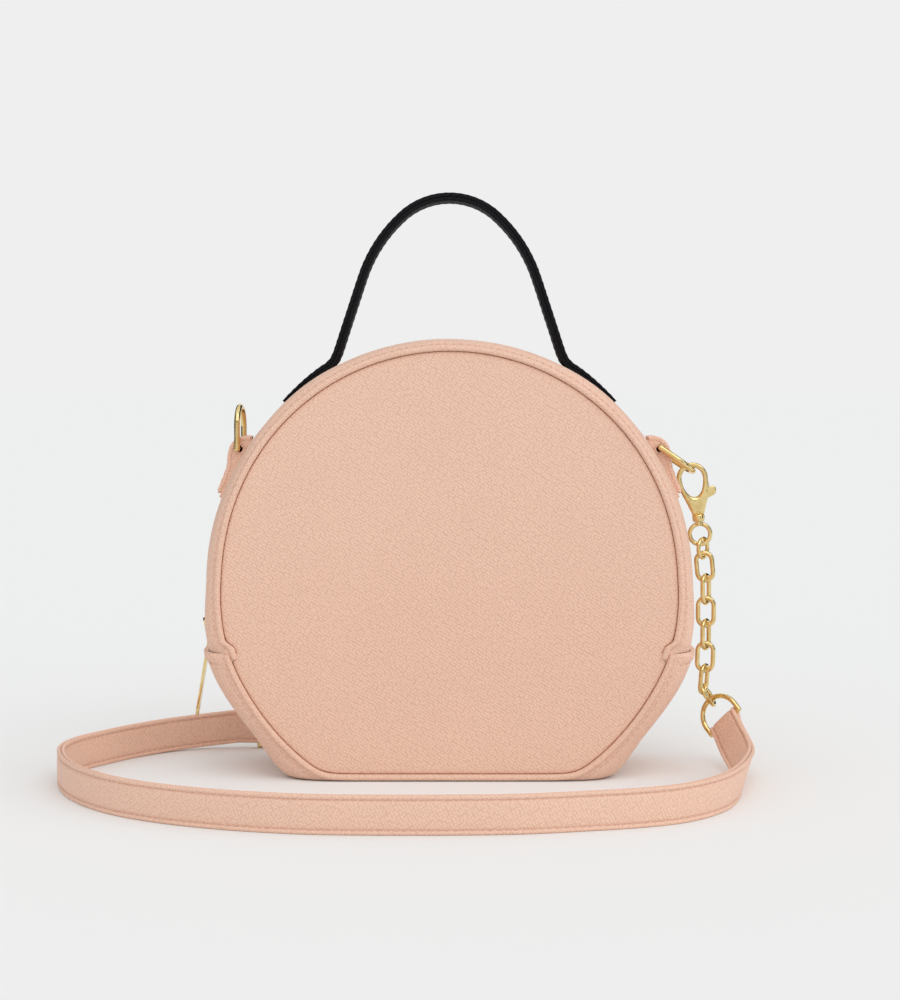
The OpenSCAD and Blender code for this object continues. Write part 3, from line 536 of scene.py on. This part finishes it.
def stitch_tree():
    """Sets one stitch on every point, turned along its seam and away from the leather."""
    tree = bpy.data.node_groups.new("stitches", "GeometryNodeTree")
    face = tree.interface
    face.new_socket("Geometry", in_out="INPUT", socket_type="NodeSocketGeometry")
    for label in ("Length", "Thickness"):
        face.new_socket(label, in_out="INPUT", socket_type="NodeSocketFloat")
    face.new_socket("Thread", in_out="INPUT", socket_type="NodeSocketMaterial")
    face.new_socket("Geometry", in_out="OUTPUT", socket_type="NodeSocketGeometry")
    source = add(tree, "NodeGroupInput")
    bead = add(tree, "GeometryNodeMeshUVSphere", Segments=8, Rings=5, Radius=0.5)
    size = add(tree, "ShaderNodeCombineXYZ", {"X": source.outputs["Length"],
                                              "Y": source.outputs["Thickness"],
                                              "Z": source.outputs["Thickness"]})
    shaped = add(tree, "GeometryNodeTransform", {"Geometry": bead.outputs["Mesh"],
                                                 "Scale": size.outputs[0]})
    along = add(tree, "GeometryNodeInputNamedAttribute", data_type="FLOAT_VECTOR", Name="along")
    away = add(tree, "GeometryNodeInputNamedAttribute", data_type="FLOAT_VECTOR", Name="away")
    first = add(tree, "FunctionNodeAlignRotationToVector",
                {"Vector": along.outputs["Attribute"]}, axis="X")
    second = add(tree, "FunctionNodeAlignRotationToVector",
                 {"Vector": away.outputs["Attribute"], "Rotation": first.outputs[0]},
                 axis="Z", pivot_axis="X")
    placed = add(tree, "GeometryNodeInstanceOnPoints", {"Points": source.outputs["Geometry"],
                 "Instance": shaped.outputs[0], "Rotation": second.outputs[0]})
    real = add(tree, "GeometryNodeRealizeInstances", {"Geometry": placed.outputs[0]})
    smooth = add(tree, "GeometryNodeSetShadeSmooth", {"Geometry": real.outputs[0]})
    dressed = add(tree, "GeometryNodeSetMaterial", {"Geometry": smooth.outputs[0],
                                                    "Material": source.outputs["Thread"]})
    add(tree, "NodeGroupOutput", {"Geometry": dressed.outputs[0]})
    return tree


STITCHES = stitch_tree()
STITCH_PITCH, STITCH_LENGTH = 3.2, 2.3


def sew(name, line, away, body, thread, thick=0.5):
    """A row of stitches along a line of points in millimetres; away points out of the leather."""
    line = [Vector(p) for p in line]
    run, total = [0.0], 0.0
    for a, b in zip(line, line[1:]):
        total += (b - a).length
        run.append(total)
    count = max(1, int(total / STITCH_PITCH))
    spots, dirs, ups, k = [], [], [], 0
    for i in range(count):
        t = (i + 0.5) * total / count
        while run[k + 1] < t:
            k += 1
        f = (t - run[k]) / max(1e-9, run[k + 1] - run[k])
        spots.append(line[k].lerp(line[k + 1], f) * MM)
        dirs.append((line[k + 1] - line[k]).normalized())
        ups.append(Vector(away[k]).lerp(Vector(away[k + 1]), f).normalized())
    mesh = bpy.data.meshes.new(name + "_spots")
    mesh.from_pydata(spots, [], [])
    for label, values in (("along", dirs), ("away", ups)):
        data = mesh.attributes.new(label, "FLOAT_VECTOR", "POINT").data
        data.foreach_set("vector", [c for v in values for c in v])
    carrier = bpy.data.objects.new(name + "_spots", mesh)
    bpy.context.collection.objects.link(carrier)
    mod = carrier.modifiers.new("stitches", "NODES")
    mod.node_group = STITCHES
    ids = {item.name: item.identifier for item in STITCHES.interface.items_tree
           if item.in_out == "INPUT"}
    mod[ids["Length"]] = STITCH_LENGTH * MM
    mod[ids["Thickness"]] = thick * MM
    mod[ids["Thread"]] = thread
    graph = bpy.context.evaluated_depsgraph_get()
    plain = bpy.data.meshes.new_from_object(carrier.evaluated_get(graph))
    bpy.data.objects.remove(carrier)
    obj = bpy.data.objects.new(name, plain)
    bpy.context.collection.objects.link(obj)
    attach(obj, body)


# Strap

STRAP_HALF_T = 1.56                     # about half the strap's thickness
FOLD_R, FOLD_L = 2.6, 6                 # fold round a ring's bar, and how far it runs out
STRAP_CLEAR = 8.2                       # the plain strap starts this far from a bar
STRAP_ROW = 5.65                        # stitched rows, from the strap's middle
STRAP_WAVE, WAVE_STEPS = 0.12, 14       # uneven lie of the strap, and steps from hill to hill
# The strap's middle line from the near ring round to the far one; it stands on its edge. Its
# own upward direction leans over near the ring, where it twists to hang from the chain.
STRAP_PATH = [
    (121.8, -0.8, 14.4), (122.9, -10, 11.2), (123.7, -20, 9.0), (123.7, -31, 7.9),
    (122.4, -43, 7.5), (119.6, -58, 7.5), (115.2, -75, 7.5), (109, -91, 7.5),
    (99.5, -105.5, 7.5), (87, -117, 7.5),
    (72, -124.3, 7.5), (56, -129, 7.5), (28, -135.5, 7.5), (0, -137.5, 7.5),
    (-28, -137.5, 7.5), (-56, -135.5, 7.5), (-84, -128, 7.5), (-109, -116.5, 7.5),
    (-130, -101, 7.5), (-146, -81, 7.5), (-157, -58, 7.5), (-163, -32, 7.5),
    (-160.5, -12, 7.5), (-152, 5, 7.5), (-141, 22, 7.5), (-128, 36, 7.8), (-113, 45, 8.5),
    (-97, 48, 9.9)]
STRAP_UPS = [Vector(v).normalized() for v in (
    (0.62, -0.33, 0.7), (0.68, -0.24, 0.69), (0.6, -0.1, 0.8), (0.48, 0.05, 0.88),
    (0.38, 0.1, 0.92), (0.27, 0.1, 0.96), (0.17, 0.08, 0.98), (0.08, 0.04, 1), (0, 0, 1))]


def strap_up(k, n):
    """The strap's upward direction at step k, with n steps between two points of the path."""
    i = k // n
    if i >= len(STRAP_UPS) - 1:
        return STRAP_UPS[-1]
    return STRAP_UPS[i].lerp(STRAP_UPS[i + 1], (k % n) / n).normalized()


def strap_frames(n):
    """Point, up and out along the strap."""
    line = curve_points(STRAP_PATH, n)
    frames = []
    for k, p in enumerate(line):
        t = ahead(line, k)
        out = t.cross(strap_up(k, n)).normalized()
        frames.append((p, out.cross(t), out))
    return frames


def strap_section():
    """Two layers: the seam between them, the rounded edge, the stitch groove and the middle."""
    half = [(6.2, 0.0), (6.9, 0.07), (7.25, 0.22), (7.45, 0.5), (7.5, 0.85), (7.38, 1.2),
            (7.08, 1.48), (6.6, 1.6), (6.2, 1.48), (5.9, 1.12), (5.65, 0.88), (5.35, 1.08),
            (5.0, 1.38), (4.4, 1.52), (2.2, 1.58), (0.0, 1.6)]
    top = half + [(-x, y) for x, y in half[-2::-1]]
    return top + [(x, -y) for x, y in top[-2:0:-1]]


def strap_end(bar, away, up, first):
    """The fold round a ring's bar: round behind the bar, then thinning to the plain strap."""
    run = away if first else -away
    side = run.cross(up).normalized()
    ends = []
    for u in (-2.58, -2.45, -2.1, -1.5, -0.8, 0, 1, 2, 3, 4, 5, 6):
        if u <= 0:
            h = math.sqrt(max(0.01, FOLD_R ** 2 - u * u))
        else:
            h = lerp(FOLD_R, STRAP_HALF_T, ease(u / FOLD_L))
        ends.append((bar + away * u, side.cross(run), side, h / STRAP_HALF_T))
    return ends if first else ends[::-1]


def strap_stations():
    """Places along the strap from bar to bar: point, up, out, half thickness as a share."""
    near_bar, near_dir = Vector((120.7, 6.1, 18.6)), Vector((0.12, -0.86, -0.5)).normalized()
    far_bar, far_dir = Vector((-87, 48, 9.9)), Vector((-1, 0, 0))
    across = Vector((0.62, -0.33, 0.7)).normalized()
    plain = [(p, up, out, 1.0) for p, up, out in strap_frames(12)
             if min((p - near_bar).length, (p - far_bar).length) > STRAP_CLEAR]
    return (strap_end(near_bar, near_dir, across, True) + plain
            + strap_end(far_bar, far_dir, Vector((0, 0, 1)), False))


strap_line = strap_stations()
strap_loops = []
for k, (p, up, out, h) in enumerate(strap_line):
    wave = STRAP_WAVE * noise.noise(Vector((k / WAVE_STEPS, 3.0, 0.0)))
    strap_loops.append([p + x * up + (y * h + wave) * out for x, y in strap_section()])
strap = sweep("shoulder_strap", strap_loops, blush_leather, "bag")
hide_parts("strap", "strap_fold_near", "strap_fold_far")
strap_pts = [p * MM for p, up, out, h in strap_line]
strap_len = sum((b - a).length for a, b in zip(strap_pts, strap_pts[1:]))
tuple(strap_pts[0])
middle = [f for f in strap_line if f[3] < 1.001]
for row, (x, y) in enumerate(((STRAP_ROW, 1), (-STRAP_ROW, 1), (STRAP_ROW, -1),
                              (-STRAP_ROW, -1))):
    sew("strap_stitches_%d" % row, [p + x * up + y * out for p, up, out, h in middle],
        [out * y for p, up, out, h in middle], "bag", blush_thread, thick=0.4)


# Panels, piping and gussets

PUFF, PUFF_SPAN = 0.22, 45              # the panels' uneven puff, and the span of its hills
SWELL, SWELL_SPAN = 0.3, 26             # the same for the gussets
SEAM_AT = 0.2                           # stitched seam's share of the way over the shoulder
SHOULDER_RISE = GUSSET_R - PANEL_R - PIPING   # from the piping up to the crown line
EDGE_R = 0.6                            # rounded edge of the leather beside the zip


def panel_skin(name, side, body, cut, node):
    """A round panel whose edge dips into its seam, slightly puffed; cut is the fold's height."""
    ds = spread(-180, 180, 1.5)[:-1]
    centre = Vector((0, PANEL_Z))
    tucked = [tuck(d) if abs(d) > HEM_D - 1.5 else 0 for d in ds]
    loops = []
    for off, dip in ((-0.1, LEATHER), (-0.1, 0.9), (-0.35, 0.45), (-0.8, 0.2), (-1.6, 0.06),
                     (-3, 0)):
        loops.append([(panel_pt(d, off - t), dip) for d, t in zip(ds, tucked)])
    edge = [p for p, y in loops[-1]]
    for share in (0.94, 0.88, 0.8, 0.7, 0.6, 0.5, 0.4, 0.3, 0.2, 0.1):
        loops.append([(centre + (p - centre) * share, 0.0) for p in edge])
    verts, faces = [], []
    for loop in loops:
        for p, y in loop:
            spot = Vector((p.x / PUFF_SPAN, p.y / PUFF_SPAN, side * 3.0))
            puff = PUFF * noise.noise(spot)
            verts.append((p.x, side * (SEAM_Y - y + (puff if y == 0 else 0)), p.y))
    n, m = len(ds), len(loops)
    for i in range(m - 1):
        for j in range(n):
            k = (j + 1) % n
            faces.append((i * n + j, i * n + k, (i + 1) * n + k, (i + 1) * n + j))
    faces.append(tuple((m - 1) * n + j for j in range(n)))
    obj = piece(name, verts, faces, blush_leather, body, hide=[(x, z) for x, y, z in verts])
    bm = bmesh.new()
    bm.from_mesh(obj.data)
    if cut:
        bmesh.ops.bisect_plane(bm, geom=bm.verts[:] + bm.edges[:] + bm.faces[:],
                               plane_co=(0, 0, cut * MM), plane_no=(0, 0, -1), clear_outer=True)
    rim = [e for e in bm.edges if e.is_boundary]
    out = bmesh.ops.extrude_edge_only(bm, edges=rim)
    for v in out["geom"]:
        if isinstance(v, bmesh.types.BMVert):
            v.co.y = side * (SEAM_Y - LEATHER) * MM
    bmesh.ops.holes_fill(bm, edges=[e for e in bm.edges if e.is_boundary], sides=0)
    bmesh.ops.recalc_face_normals(bm, faces=bm.faces)
    bm.to_mesh(obj.data)
    bm.free()
    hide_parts(node)


panel_skin("front_panel_leather", -1, "bag", None, "front_panel")
panel_skin("back_panel_leather", 1, "back_flap", FOLD_Z, "back_panel")


def lip(name, ds, upper, side, body, node):
    """The rounded piping lip round a panel; its ends at the hem close in a small dome."""
    middle, floor_y, dome, mm_per_deg = 1.3, 33.4, 1.3, 1.68
    profile = [(0, 31), (0, 33.7), (0.12, 34.2), (0.4, 34.65), (0.85, 34.93), (1.35, 35),
               (1.85, 34.9), (2.25, 34.6), (2.5, 34.15), (2.6, 33.72), (1, 33.72), (1, 31)]
    loops = []
    for d in ds:
        rise = 0.12 * noise.noise(Vector((d / 9, side * 5.0, 1.0 if upper else 2.0)))
        x = (min(d, 360 - d) - HEM_D + LAP if upper else HEM_D - abs(d)) * mm_per_deg
        s = 1.0 if x > dome else max(0.2, math.sqrt(max(0.0, 1 - (1 - x / dome) ** 2)))
        loop = []
        for off, y in profile:
            off, y = middle + (off - middle) * s, floor_y + (y - floor_y) * s
            p = panel_pt(d, off - (tuck(d) if upper else 0))
            loop.append((p.x, side * (y + (rise if y > 34 else 0) - 0.1), p.y))
        loops.append(loop)
    obj = sweep(name, loops, blush_leather, body)
    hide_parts(node)


def shoulder_y(a):
    """Depth of the rounded shoulder at angle a of its quarter turn."""
    return SHOULDER_Y + (SEAM_Y - SHOULDER_Y) * cos(a)


SHOULDER = [(shoulder_y(a), sin(a)) for a in spread(0, 90, 90 / 14)]


def skin_off(d, w, y, skin):
    """How far the leather swells or sinks from its even outline."""
    q = skin(d, w, 0, y)
    spot = Vector((q.x / SWELL_SPAN, y / SWELL_SPAN + 1, q.y / SWELL_SPAN))
    swell = SWELL * noise.noise(spot) * ease(w / 0.3)
    seam = 0.3 * math.exp(-((w - SEAM_AT) / 0.05) ** 2) + 0.35 * math.exp(-(w / 0.07) ** 2)
    return swell - seam


def shell(name, ds, rings, skin, side, body, node, sink=None):
    """A bent band of leather: an outer skin, rounded edges and an inner skin. Its rings are
    (depth, share over the shoulder) and sink lowers its skin near the hem."""
    loops = []
    for d in ds:
        low = sink(d) if sink else 0.0
        loop = []
        for y, w in rings:
            edge = 0.0
            if w == 1 and side < 0:
                edge = EDGE_R * max(0.0, 1 - (y - rings[-1][0]) / EDGE_R) ** 2
            q = skin(d, w, skin_off(d, w, side * y, skin) - edge - low, side * y)
            loop.append((q.x, side * y, q.y))
        for y, w in rings[::-1]:
            q = skin(d, w, -LEATHER, side * y)
            loop.append((q.x, side * y, q.y))
        loops.append(loop)
    obj = sweep(name, loops, blush_leather, body)
    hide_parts(node)


STITCH_LIFT = 0.02                      # how far these stitches stand off the leather


def seam_row(name, ds, skin, side, body):
    """Stitches round the bag beside its piping, in the dip of the leather."""
    w, depth = SEAM_AT, SEAM_Y - SHOULDER_Y
    a = math.degrees(math.asin(w))
    y = side * shoulder_y(a)
    line, away = [], []
    for d in ds:
        q = skin(d, w, skin_off(d, w, y, skin) + STITCH_LIFT, y)
        r = skin(d, 1, 0, y) - skin(d, 0, 0, y)
        n = (Vector((r.x, 0, r.y)).normalized() * w / SHOULDER_RISE
             + Vector((0, side, 0)) * cos(a) / depth)
        line.append((q.x, y, q.y))
        away.append(n.normalized())
    sew(name, line, away, body, blush_thread)


def band_row(name, ds, y, body):
    """Stitches beside the zip on the flat of the gusset, at depth y."""
    line, away = [], []
    for d in ds:
        q = upper_skin(d, 1, skin_off(d, 1, y, upper_skin) + STITCH_LIFT, y)
        line.append((q.x, y, q.y))
        away.append(Vector((sin(d), 0, -cos(d))))
    sew(name, line, away, body, blush_thread)


def arc(a, b):
    """Angles from a to b over the top, close together where the tuck is steep."""
    steep = (80.0, 280.0)
    stops = sorted({a, b} | {t for t in steep if a < t < b})
    out = []
    for p, q in zip(stops, stops[1:]):
        out += spread(p, q, 0.3 if q <= steep[0] or p >= steep[1] else 1.2)[:-1]
    return out + [b]


def hem_sink(d):
    """How far the base gusset's skin rounds down in its last degrees before the hem."""
    depth, degrees = 1.2, 0.6
    return depth * max(0.0, 1 - (HEM_D - abs(d)) / degrees) ** 2


# Stretches round the bag: the crown, its ends under the fold, the flap's part and the base.
TOP = arc(HEM_D - LAP, 360 - HEM_D + LAP)
RIGHT, LEFT = arc(HEM_D - LAP, FOLD_D - 0.25), arc(360.25 - FOLD_D, 360 - HEM_D + LAP)
FLAP = spread(FOLD_D, 360 - FOLD_D, 1.2)
half_base = (spread(0, 30, 3)[:-1] + spread(30, 48, 1.0)[:-1] + spread(48, 68, 1.5)[:-1]
             + spread(68, HEM_D, 0.15))
BASE = [-d for d in half_base[:0:-1]] + half_base
lip("front_piping_above", TOP, True, -1, "bag", "front_piping_upper")
lip("front_piping_below", BASE, False, -1, "bag", "front_piping_lower")
lip("back_piping_above", FLAP, True, 1, "back_flap", "back_piping")
lip("back_piping_below", BASE, False, 1, "bag", "back_piping_lower")
lip("back_piping_right", RIGHT, True, 1, "bag", "back_piping_ends")
lip("back_piping_left", LEFT, True, 1, "bag", "back_piping_ends")

zip_edge = ZIP_GAP - ZIP_Y
flat = [(y, 1.0) for y in spread(SHOULDER_Y, zip_edge + 1, 2.0)[1:-1]]
edge_rows = [(zip_edge + e, 1.0) for e in (0.8, 0.4, 0.15, 0.0)]
base_rows = ([(-y, w) for y, w in SHOULDER] + [(y, 1.0) for y in spread(-20, 20, 4)]
             + SHOULDER[::-1])
shell("front_gusset_leather", TOP, SHOULDER + flat + edge_rows, upper_skin, -1, "bag",
      "front_gusset")
shell("back_gusset_leather", FLAP, SHOULDER, upper_skin, 1, "back_flap", "back_gusset")
shell("back_gusset_right", RIGHT, SHOULDER, upper_skin, 1, "bag", "back_gusset_ends")
shell("back_gusset_left", LEFT, SHOULDER, upper_skin, 1, "bag", "back_gusset_ends")
shell("base_gusset_leather", BASE, base_rows, base_skin, 1, "bag", "base_gusset",
      sink=hem_sink)

base_seam = spread(4 - HEM_D, HEM_D - 4, 1.0)
flap_seam = spread(FOLD_D + 0.5, 359.5 - FOLD_D, 1.2)
seam_row("front_seam_stitches", spread(HEM_D + 2, 358 - HEM_D, 1.2), upper_skin, -1, "bag")
seam_row("front_base_stitches", base_seam, base_skin, -1, "bag")
seam_row("back_seam_stitches", flap_seam, upper_skin, 1, "back_flap")
seam_row("back_base_stitches", base_seam, base_skin, 1, "bag")
band_row("zip_stitches_front", spread(HEM_D + 4, 356 - HEM_D, 1.2), 12.6, "bag")
band_row("zip_stitches_back", flap_seam, 24.3, "back_flap")
for sign, label in ((1, "right"), (-1, "left")):
    d = sign * (HEM_D - HEM_GROOVE / MM_PER_DEG)
    line, away = [], []
    for y, w in base_rows[3:-3]:
        q = base_skin(d, w, skin_off(d, w, y, base_skin) + STITCH_LIFT, y)
        line.append((q.x, y, q.y))
        away.append(Vector((sign * sin(HEM_D) * w, (1 - w) * (1 if y > 0 else -1),
                            -cos(HEM_D) * w)))
    sew("hem_stitches_" + label, line, away, "bag", blush_thread)


# Handle

HANDLE_Y, HANDLE_W = 3.5, 18.0          # depth of the handle's middle, and its width
LAYER_T = 1.75                          # each of its two layers
ARCH_R, ARCH_Z = 30, 216.3              # the arc over the top, and its centre's height
SIDE_R, SIDE_X, SIDE_Z = 62, 21.42, 192.53    # the wider arc down each side, and its centre
FOOT_Z, FOOT_T = 174, 0.35              # below this height half a layer thins to this
FOOT_A, FOOT_RUN = 31, 11.2             # where it does so, in degrees from the bag's top


def handle():
    """Two layers of leather sewn together, arched, and sewn down on the gusset at both feet."""
    right = [(ARCH_R * sin(a), ARCH_Z + ARCH_R * cos(a)) for a in range(0, 43, 7)]
    right += [(SIDE_R * sin(a) - SIDE_X, SIDE_Z + SIDE_R * cos(a))
              for a in (48, 54, 60, 66, 71.7)]
    right += [(41.1, 201), (44.6, 190.4), (47.2, 182.4), (48.6, 178.6), (50.1, 176.0),
              (52.3, 173.9)]
    right += [(r * sin(a), GUSSET_Z + r * cos(a)) for a, r in
              ((31, 106.85), (34, 106.6), (37, 106.3), (40, 106.0), (42.2, 105.85))]
    line = curve_points([(-x, HANDLE_Y, z) for x, z in right[:0:-1]]
                        + [(x, HANDLE_Y, z) for x, z in right], 4)
    for label, layer in (("outer", 1), ("inner", -1)):
        loops, faces, outs = [], [], []
        for i, p in enumerate(line):
            t = ahead(line, i)
            out = Vector((-t.z, 0, t.x))
            a = abs(math.degrees(math.atan2(p.x, p.z - GUSSET_Z)))
            half = LAYER_T / 2
            if p.z < FOOT_Z:
                half = lerp(half, FOOT_T, clamp01((a - FOOT_A) / FOOT_RUN))
            r = min(0.5, half - 0.03)
            c = p + layer * half * out
            loops.append([c + Vector((0, u, 0)) + v * out
                          for u, v in rounded_section(HANDLE_W / 2, half - 0.02, r)])
            faces.append(p + layer * (2 * half - 0.02) * out)
            outs.append(layer * out)
        obj = sweep("handle_" + label + "_leather", loops, black_leather, "bag")
        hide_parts("handle_" + label)
        keep = slice(2, -2) if layer > 0 else slice(24, -24)
        for k, u in enumerate((-7.0, 7.0)):
            sew("handle_stitches_%s_%d" % (label, k), [q + Vector((0, u, 0)) for q in faces[keep]],
                outs[keep], "bag", black_thread, thick=0.4)


handle()


# Ring tabs

# A tab's middle line from its foot on the gusset up and over the ring's bar.
TAB_Y = 4
TAB_LINE = [(99.4, 119.6), (97.9, 123.1), (96.4, 126.6), (94.9, 131), (94.5, 135.5), (93.4, 139.6),
            (90.8, 142.3), (87.6, 143.0), (85.8, 142.7)]


def ring_tab(node, sign):
    """A strip folded over the ring's bar; under the bar its layers are sewn together."""
    line = curve_points([(x, TAB_Y, z) for x, z in TAB_LINE], 5)
    loops = []
    for i, p in enumerate(line):
        t = ahead(line, i)
        out = Vector((t.z, 0, -t.x))
        thick = 0.45 + 0.55 * ease((p - line[0]).length / 1.2)
        loops.append([(sign * q.x, q.y, q.z) for q in
                      (p + Vector((0, u, 0)) + (v * thick + 0.1) * out
                       for u, v in rounded_section(7.0, 1.05, 0.75))])
    obj = sweep(node + "_outer", loops, blush_leather, "bag")
    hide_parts(node)
    centre = Vector((0, TAB_Y, GUSSET_Z))
    bar_r, bar_a, hole_r = 107.68, 32.72, 1.6
    for part, first, last in (("inner", 20.6, 36.0), ("cap", 31.95, 33.5)):
        loops = []
        for a in spread(first, last, 0.3):
            e = Vector((cos(a), 0, sin(a)))
            near = min(line, key=lambda p: abs(math.degrees(math.atan2(p.z - GUSSET_Z, p.x)) - a))
            low, high = 104.6, (near - centre).dot(e) - 0.75
            past = bar_r * math.radians(a - bar_a)
            round_bar = math.sqrt(max(0.0, hole_r ** 2 - past ** 2))
            if part == "cap":
                low = bar_r + round_bar
            elif round_bar:
                high = bar_r - round_bar
            high = max(high, low + 0.2)
            foot = centre + low * e
            loops.append([(sign * q.x, q.y, q.z) for q in
                          (foot + Vector((0, u, 0)) + (high - low) * (0.5 + v / 2) * e
                           for u, v in rounded_section(6.8, 1.0, 0.3))])
        obj = sweep(node + "_" + part, loops, blush_leather, "bag")
        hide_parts(node)
    rows = line[5:int(len(line) * 0.45)]
    for k, u in enumerate((-5.0, 5.0)):
        sew("%s_stitches_%d" % (node, k),
            [(sign * (p.x + 1.08), TAB_Y + u, p.z + 0.43) for p in rows],
            [Vector((sign * 0.93, 0, 0.37))] * len(rows), "bag", blush_thread)


ring_tab("ring_tab_right", 1)
ring_tab("ring_tab_left", -1)


# Clasps

# In a clasp's own plane: x across, y along its axis from the swivel eye. CLAW is the centre of
# the hook's bend, CLAW_MID the middle of its opening.
CLAW, CLAW_MID = Vector((-1.1, 18.9)), Vector((-0.9, 16.2))


def around(points):
    """Distance from the middle of the hook's eye as a smooth function of the angle."""
    known = sorted((math.degrees(math.atan2(q.y - CLAW_MID.y, q.x - CLAW_MID.x)) % 360,
                    (q - CLAW_MID).length) for q in map(Vector, points))
    known = known[-2:] + known + known[:2]
    n = len(known)
    turned = [(a - 360 if i < 2 else a + 360 if i >= n - 2 else a, r)
              for i, (a, r) in enumerate(known)]

    def radius(a):
        a %= 360
        for i in range(1, n - 2):
            (a0, p0), (a1, p1), (a2, p2), (a3, p3) = turned[i - 1:i + 3]
            if a1 <= a <= a2:
                t = (a - a1) / (a2 - a1)
                return 0.5 * (2 * p1 + (p2 - p0) * t + (2 * p0 - 5 * p1 + 4 * p2 - p3) * t * t
                              + (3 * p1 - p0 - 3 * p2 + p3) * t ** 3)
    return radius


def bend(radius, angles):
    """Points round the hook's bend."""
    return [CLAW + radius * Vector((cos(a), sin(a))) for a in angles]


OUTER = around(bend(6.8, range(-10, 200, 15)) + [
    (-7.4, 15.4), (-6.4, 12.6), (-5.2, 9.9), (-4.0, 7.0), (-3.0, 4.4), (-2.4, 2.5), (-1.2, 2.4),
    (0, 2.4), (1.2, 2.4), (2.4, 2.5), (3.0, 4.4), (4.0, 7.4), (5.0, 10.6), (5.6, 13.6),
    (5.8, 16.2)])
INNER = around(bend(4.6, range(0, 181, 15)) + [
    (-5.5, 17.0), (-4.9, 14.6), (-3.7, 12.5), (-2.4, 11.2), (-0.9, 10.7), (0.7, 11.1),
    (2.0, 12.4), (3.0, 14.6), (3.4, 17.0)])
# Where each clasp's swivel eye lies, and how its plane is turned.
LOCAL = {"near": (Vector((108.3, 4, 107)), Matrix.Rotation(math.radians(-5.8), 3, "Y")),
         "far": (Vector((6.2, 50, 2.95)), Matrix.Rotation(math.radians(3), 3, "Y")
                 @ Matrix(((0, 0, 1), (1, 0, 0), (0, 1, 0))))}


def hook_part(name, which, first, last, body):
    """A stretch of the rounded ring that the hook, its V-shaped body and the gate share."""
    at, turn = LOCAL[which]
    squareness = 2.6
    loops = []
    for a in spread(first, last, 3.0):
        e = Vector((cos(a), sin(a)))
        r0, r1 = INNER(a), OUTER(a)
        high = lerp(1.25, 1.6, ease((0.1 - sin(a)) / 0.8))
        half = []
        for k in range(11):
            t = 0.5 - 0.5 * cos(180 * k / 10)
            u = abs(2 * t - 1)
            half.append((t, high * (1 - u ** squareness) ** (1 / squareness)))
        ring = half + [(t, -h) for t, h in half[-2:0:-1]]
        loops.append([at + turn @ Vector((q.x, h, q.y)) for q, h in
                      ((CLAW_MID + lerp(r0, r1, t) * e, h) for t, h in ring)])
    return sweep(name, loops, light_gold, body)


def turned_part(name, which, profile, body):
    """A round part on the clasp's axis from (radius, height) pairs."""
    at, turn = LOCAL[which]
    loops = [[at + turn @ Vector((r * cos(a), r * sin(a), z)) for a in range(0, 360, 10)]
             for r, z in profile]
    return sweep(name, loops, light_gold, body)


def lever(name, which, body):
    """The thumb lever that stands out beside the V-shaped body."""
    at, turn = LOCAL[which]
    outline = [(3.2, 8.8), (4.6, 9.6), (6.2, 10.3), (7.8, 10.9), (8.5, 11.7), (8.7, 13.2),
               (8.3, 14.4), (7.3, 14.8), (5.4, 14.3), (3.6, 13.2)]
    mid = Vector((5.8, 12.2))
    loops = []
    for share, h in ((0.82, -1.3), (0.93, -1.2), (1.0, -0.85), (1.0, 0.85), (0.93, 1.2),
                     (0.82, 1.3)):
        loops.append([at + turn @ Vector((q.x, h, q.y)) for q in
                      (mid + share * (Vector(p) - mid) for p in outline)])
    return sweep(name, loops, light_gold, body)


for which in ("near", "far"):
    for obj, node in (
            (hook_part("hook_" + which, which, -112, 187, "clasp_" + which), "clasp_body_"),
            (turned_part("swivel_collar_" + which, which,
                         [(1.25, -0.05), (2.35, -0.05), (2.6, 0.2), (2.65, 1.4), (2.6, 2.6),
                          (2.35, 2.85), (1.2, 3.0)], "clasp_" + which), "clasp_body_"),
            (hook_part("gate_" + which, which, 188.5, 250, "clasp_gate_" + which), "clasp_gate_"),
            (lever("lever_" + which, which, "clasp_gate_" + which), "clasp_gate_")):
        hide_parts(node + which)
for node in ("zip_slider", "zip_pull"):
    softened(node, 0.18)
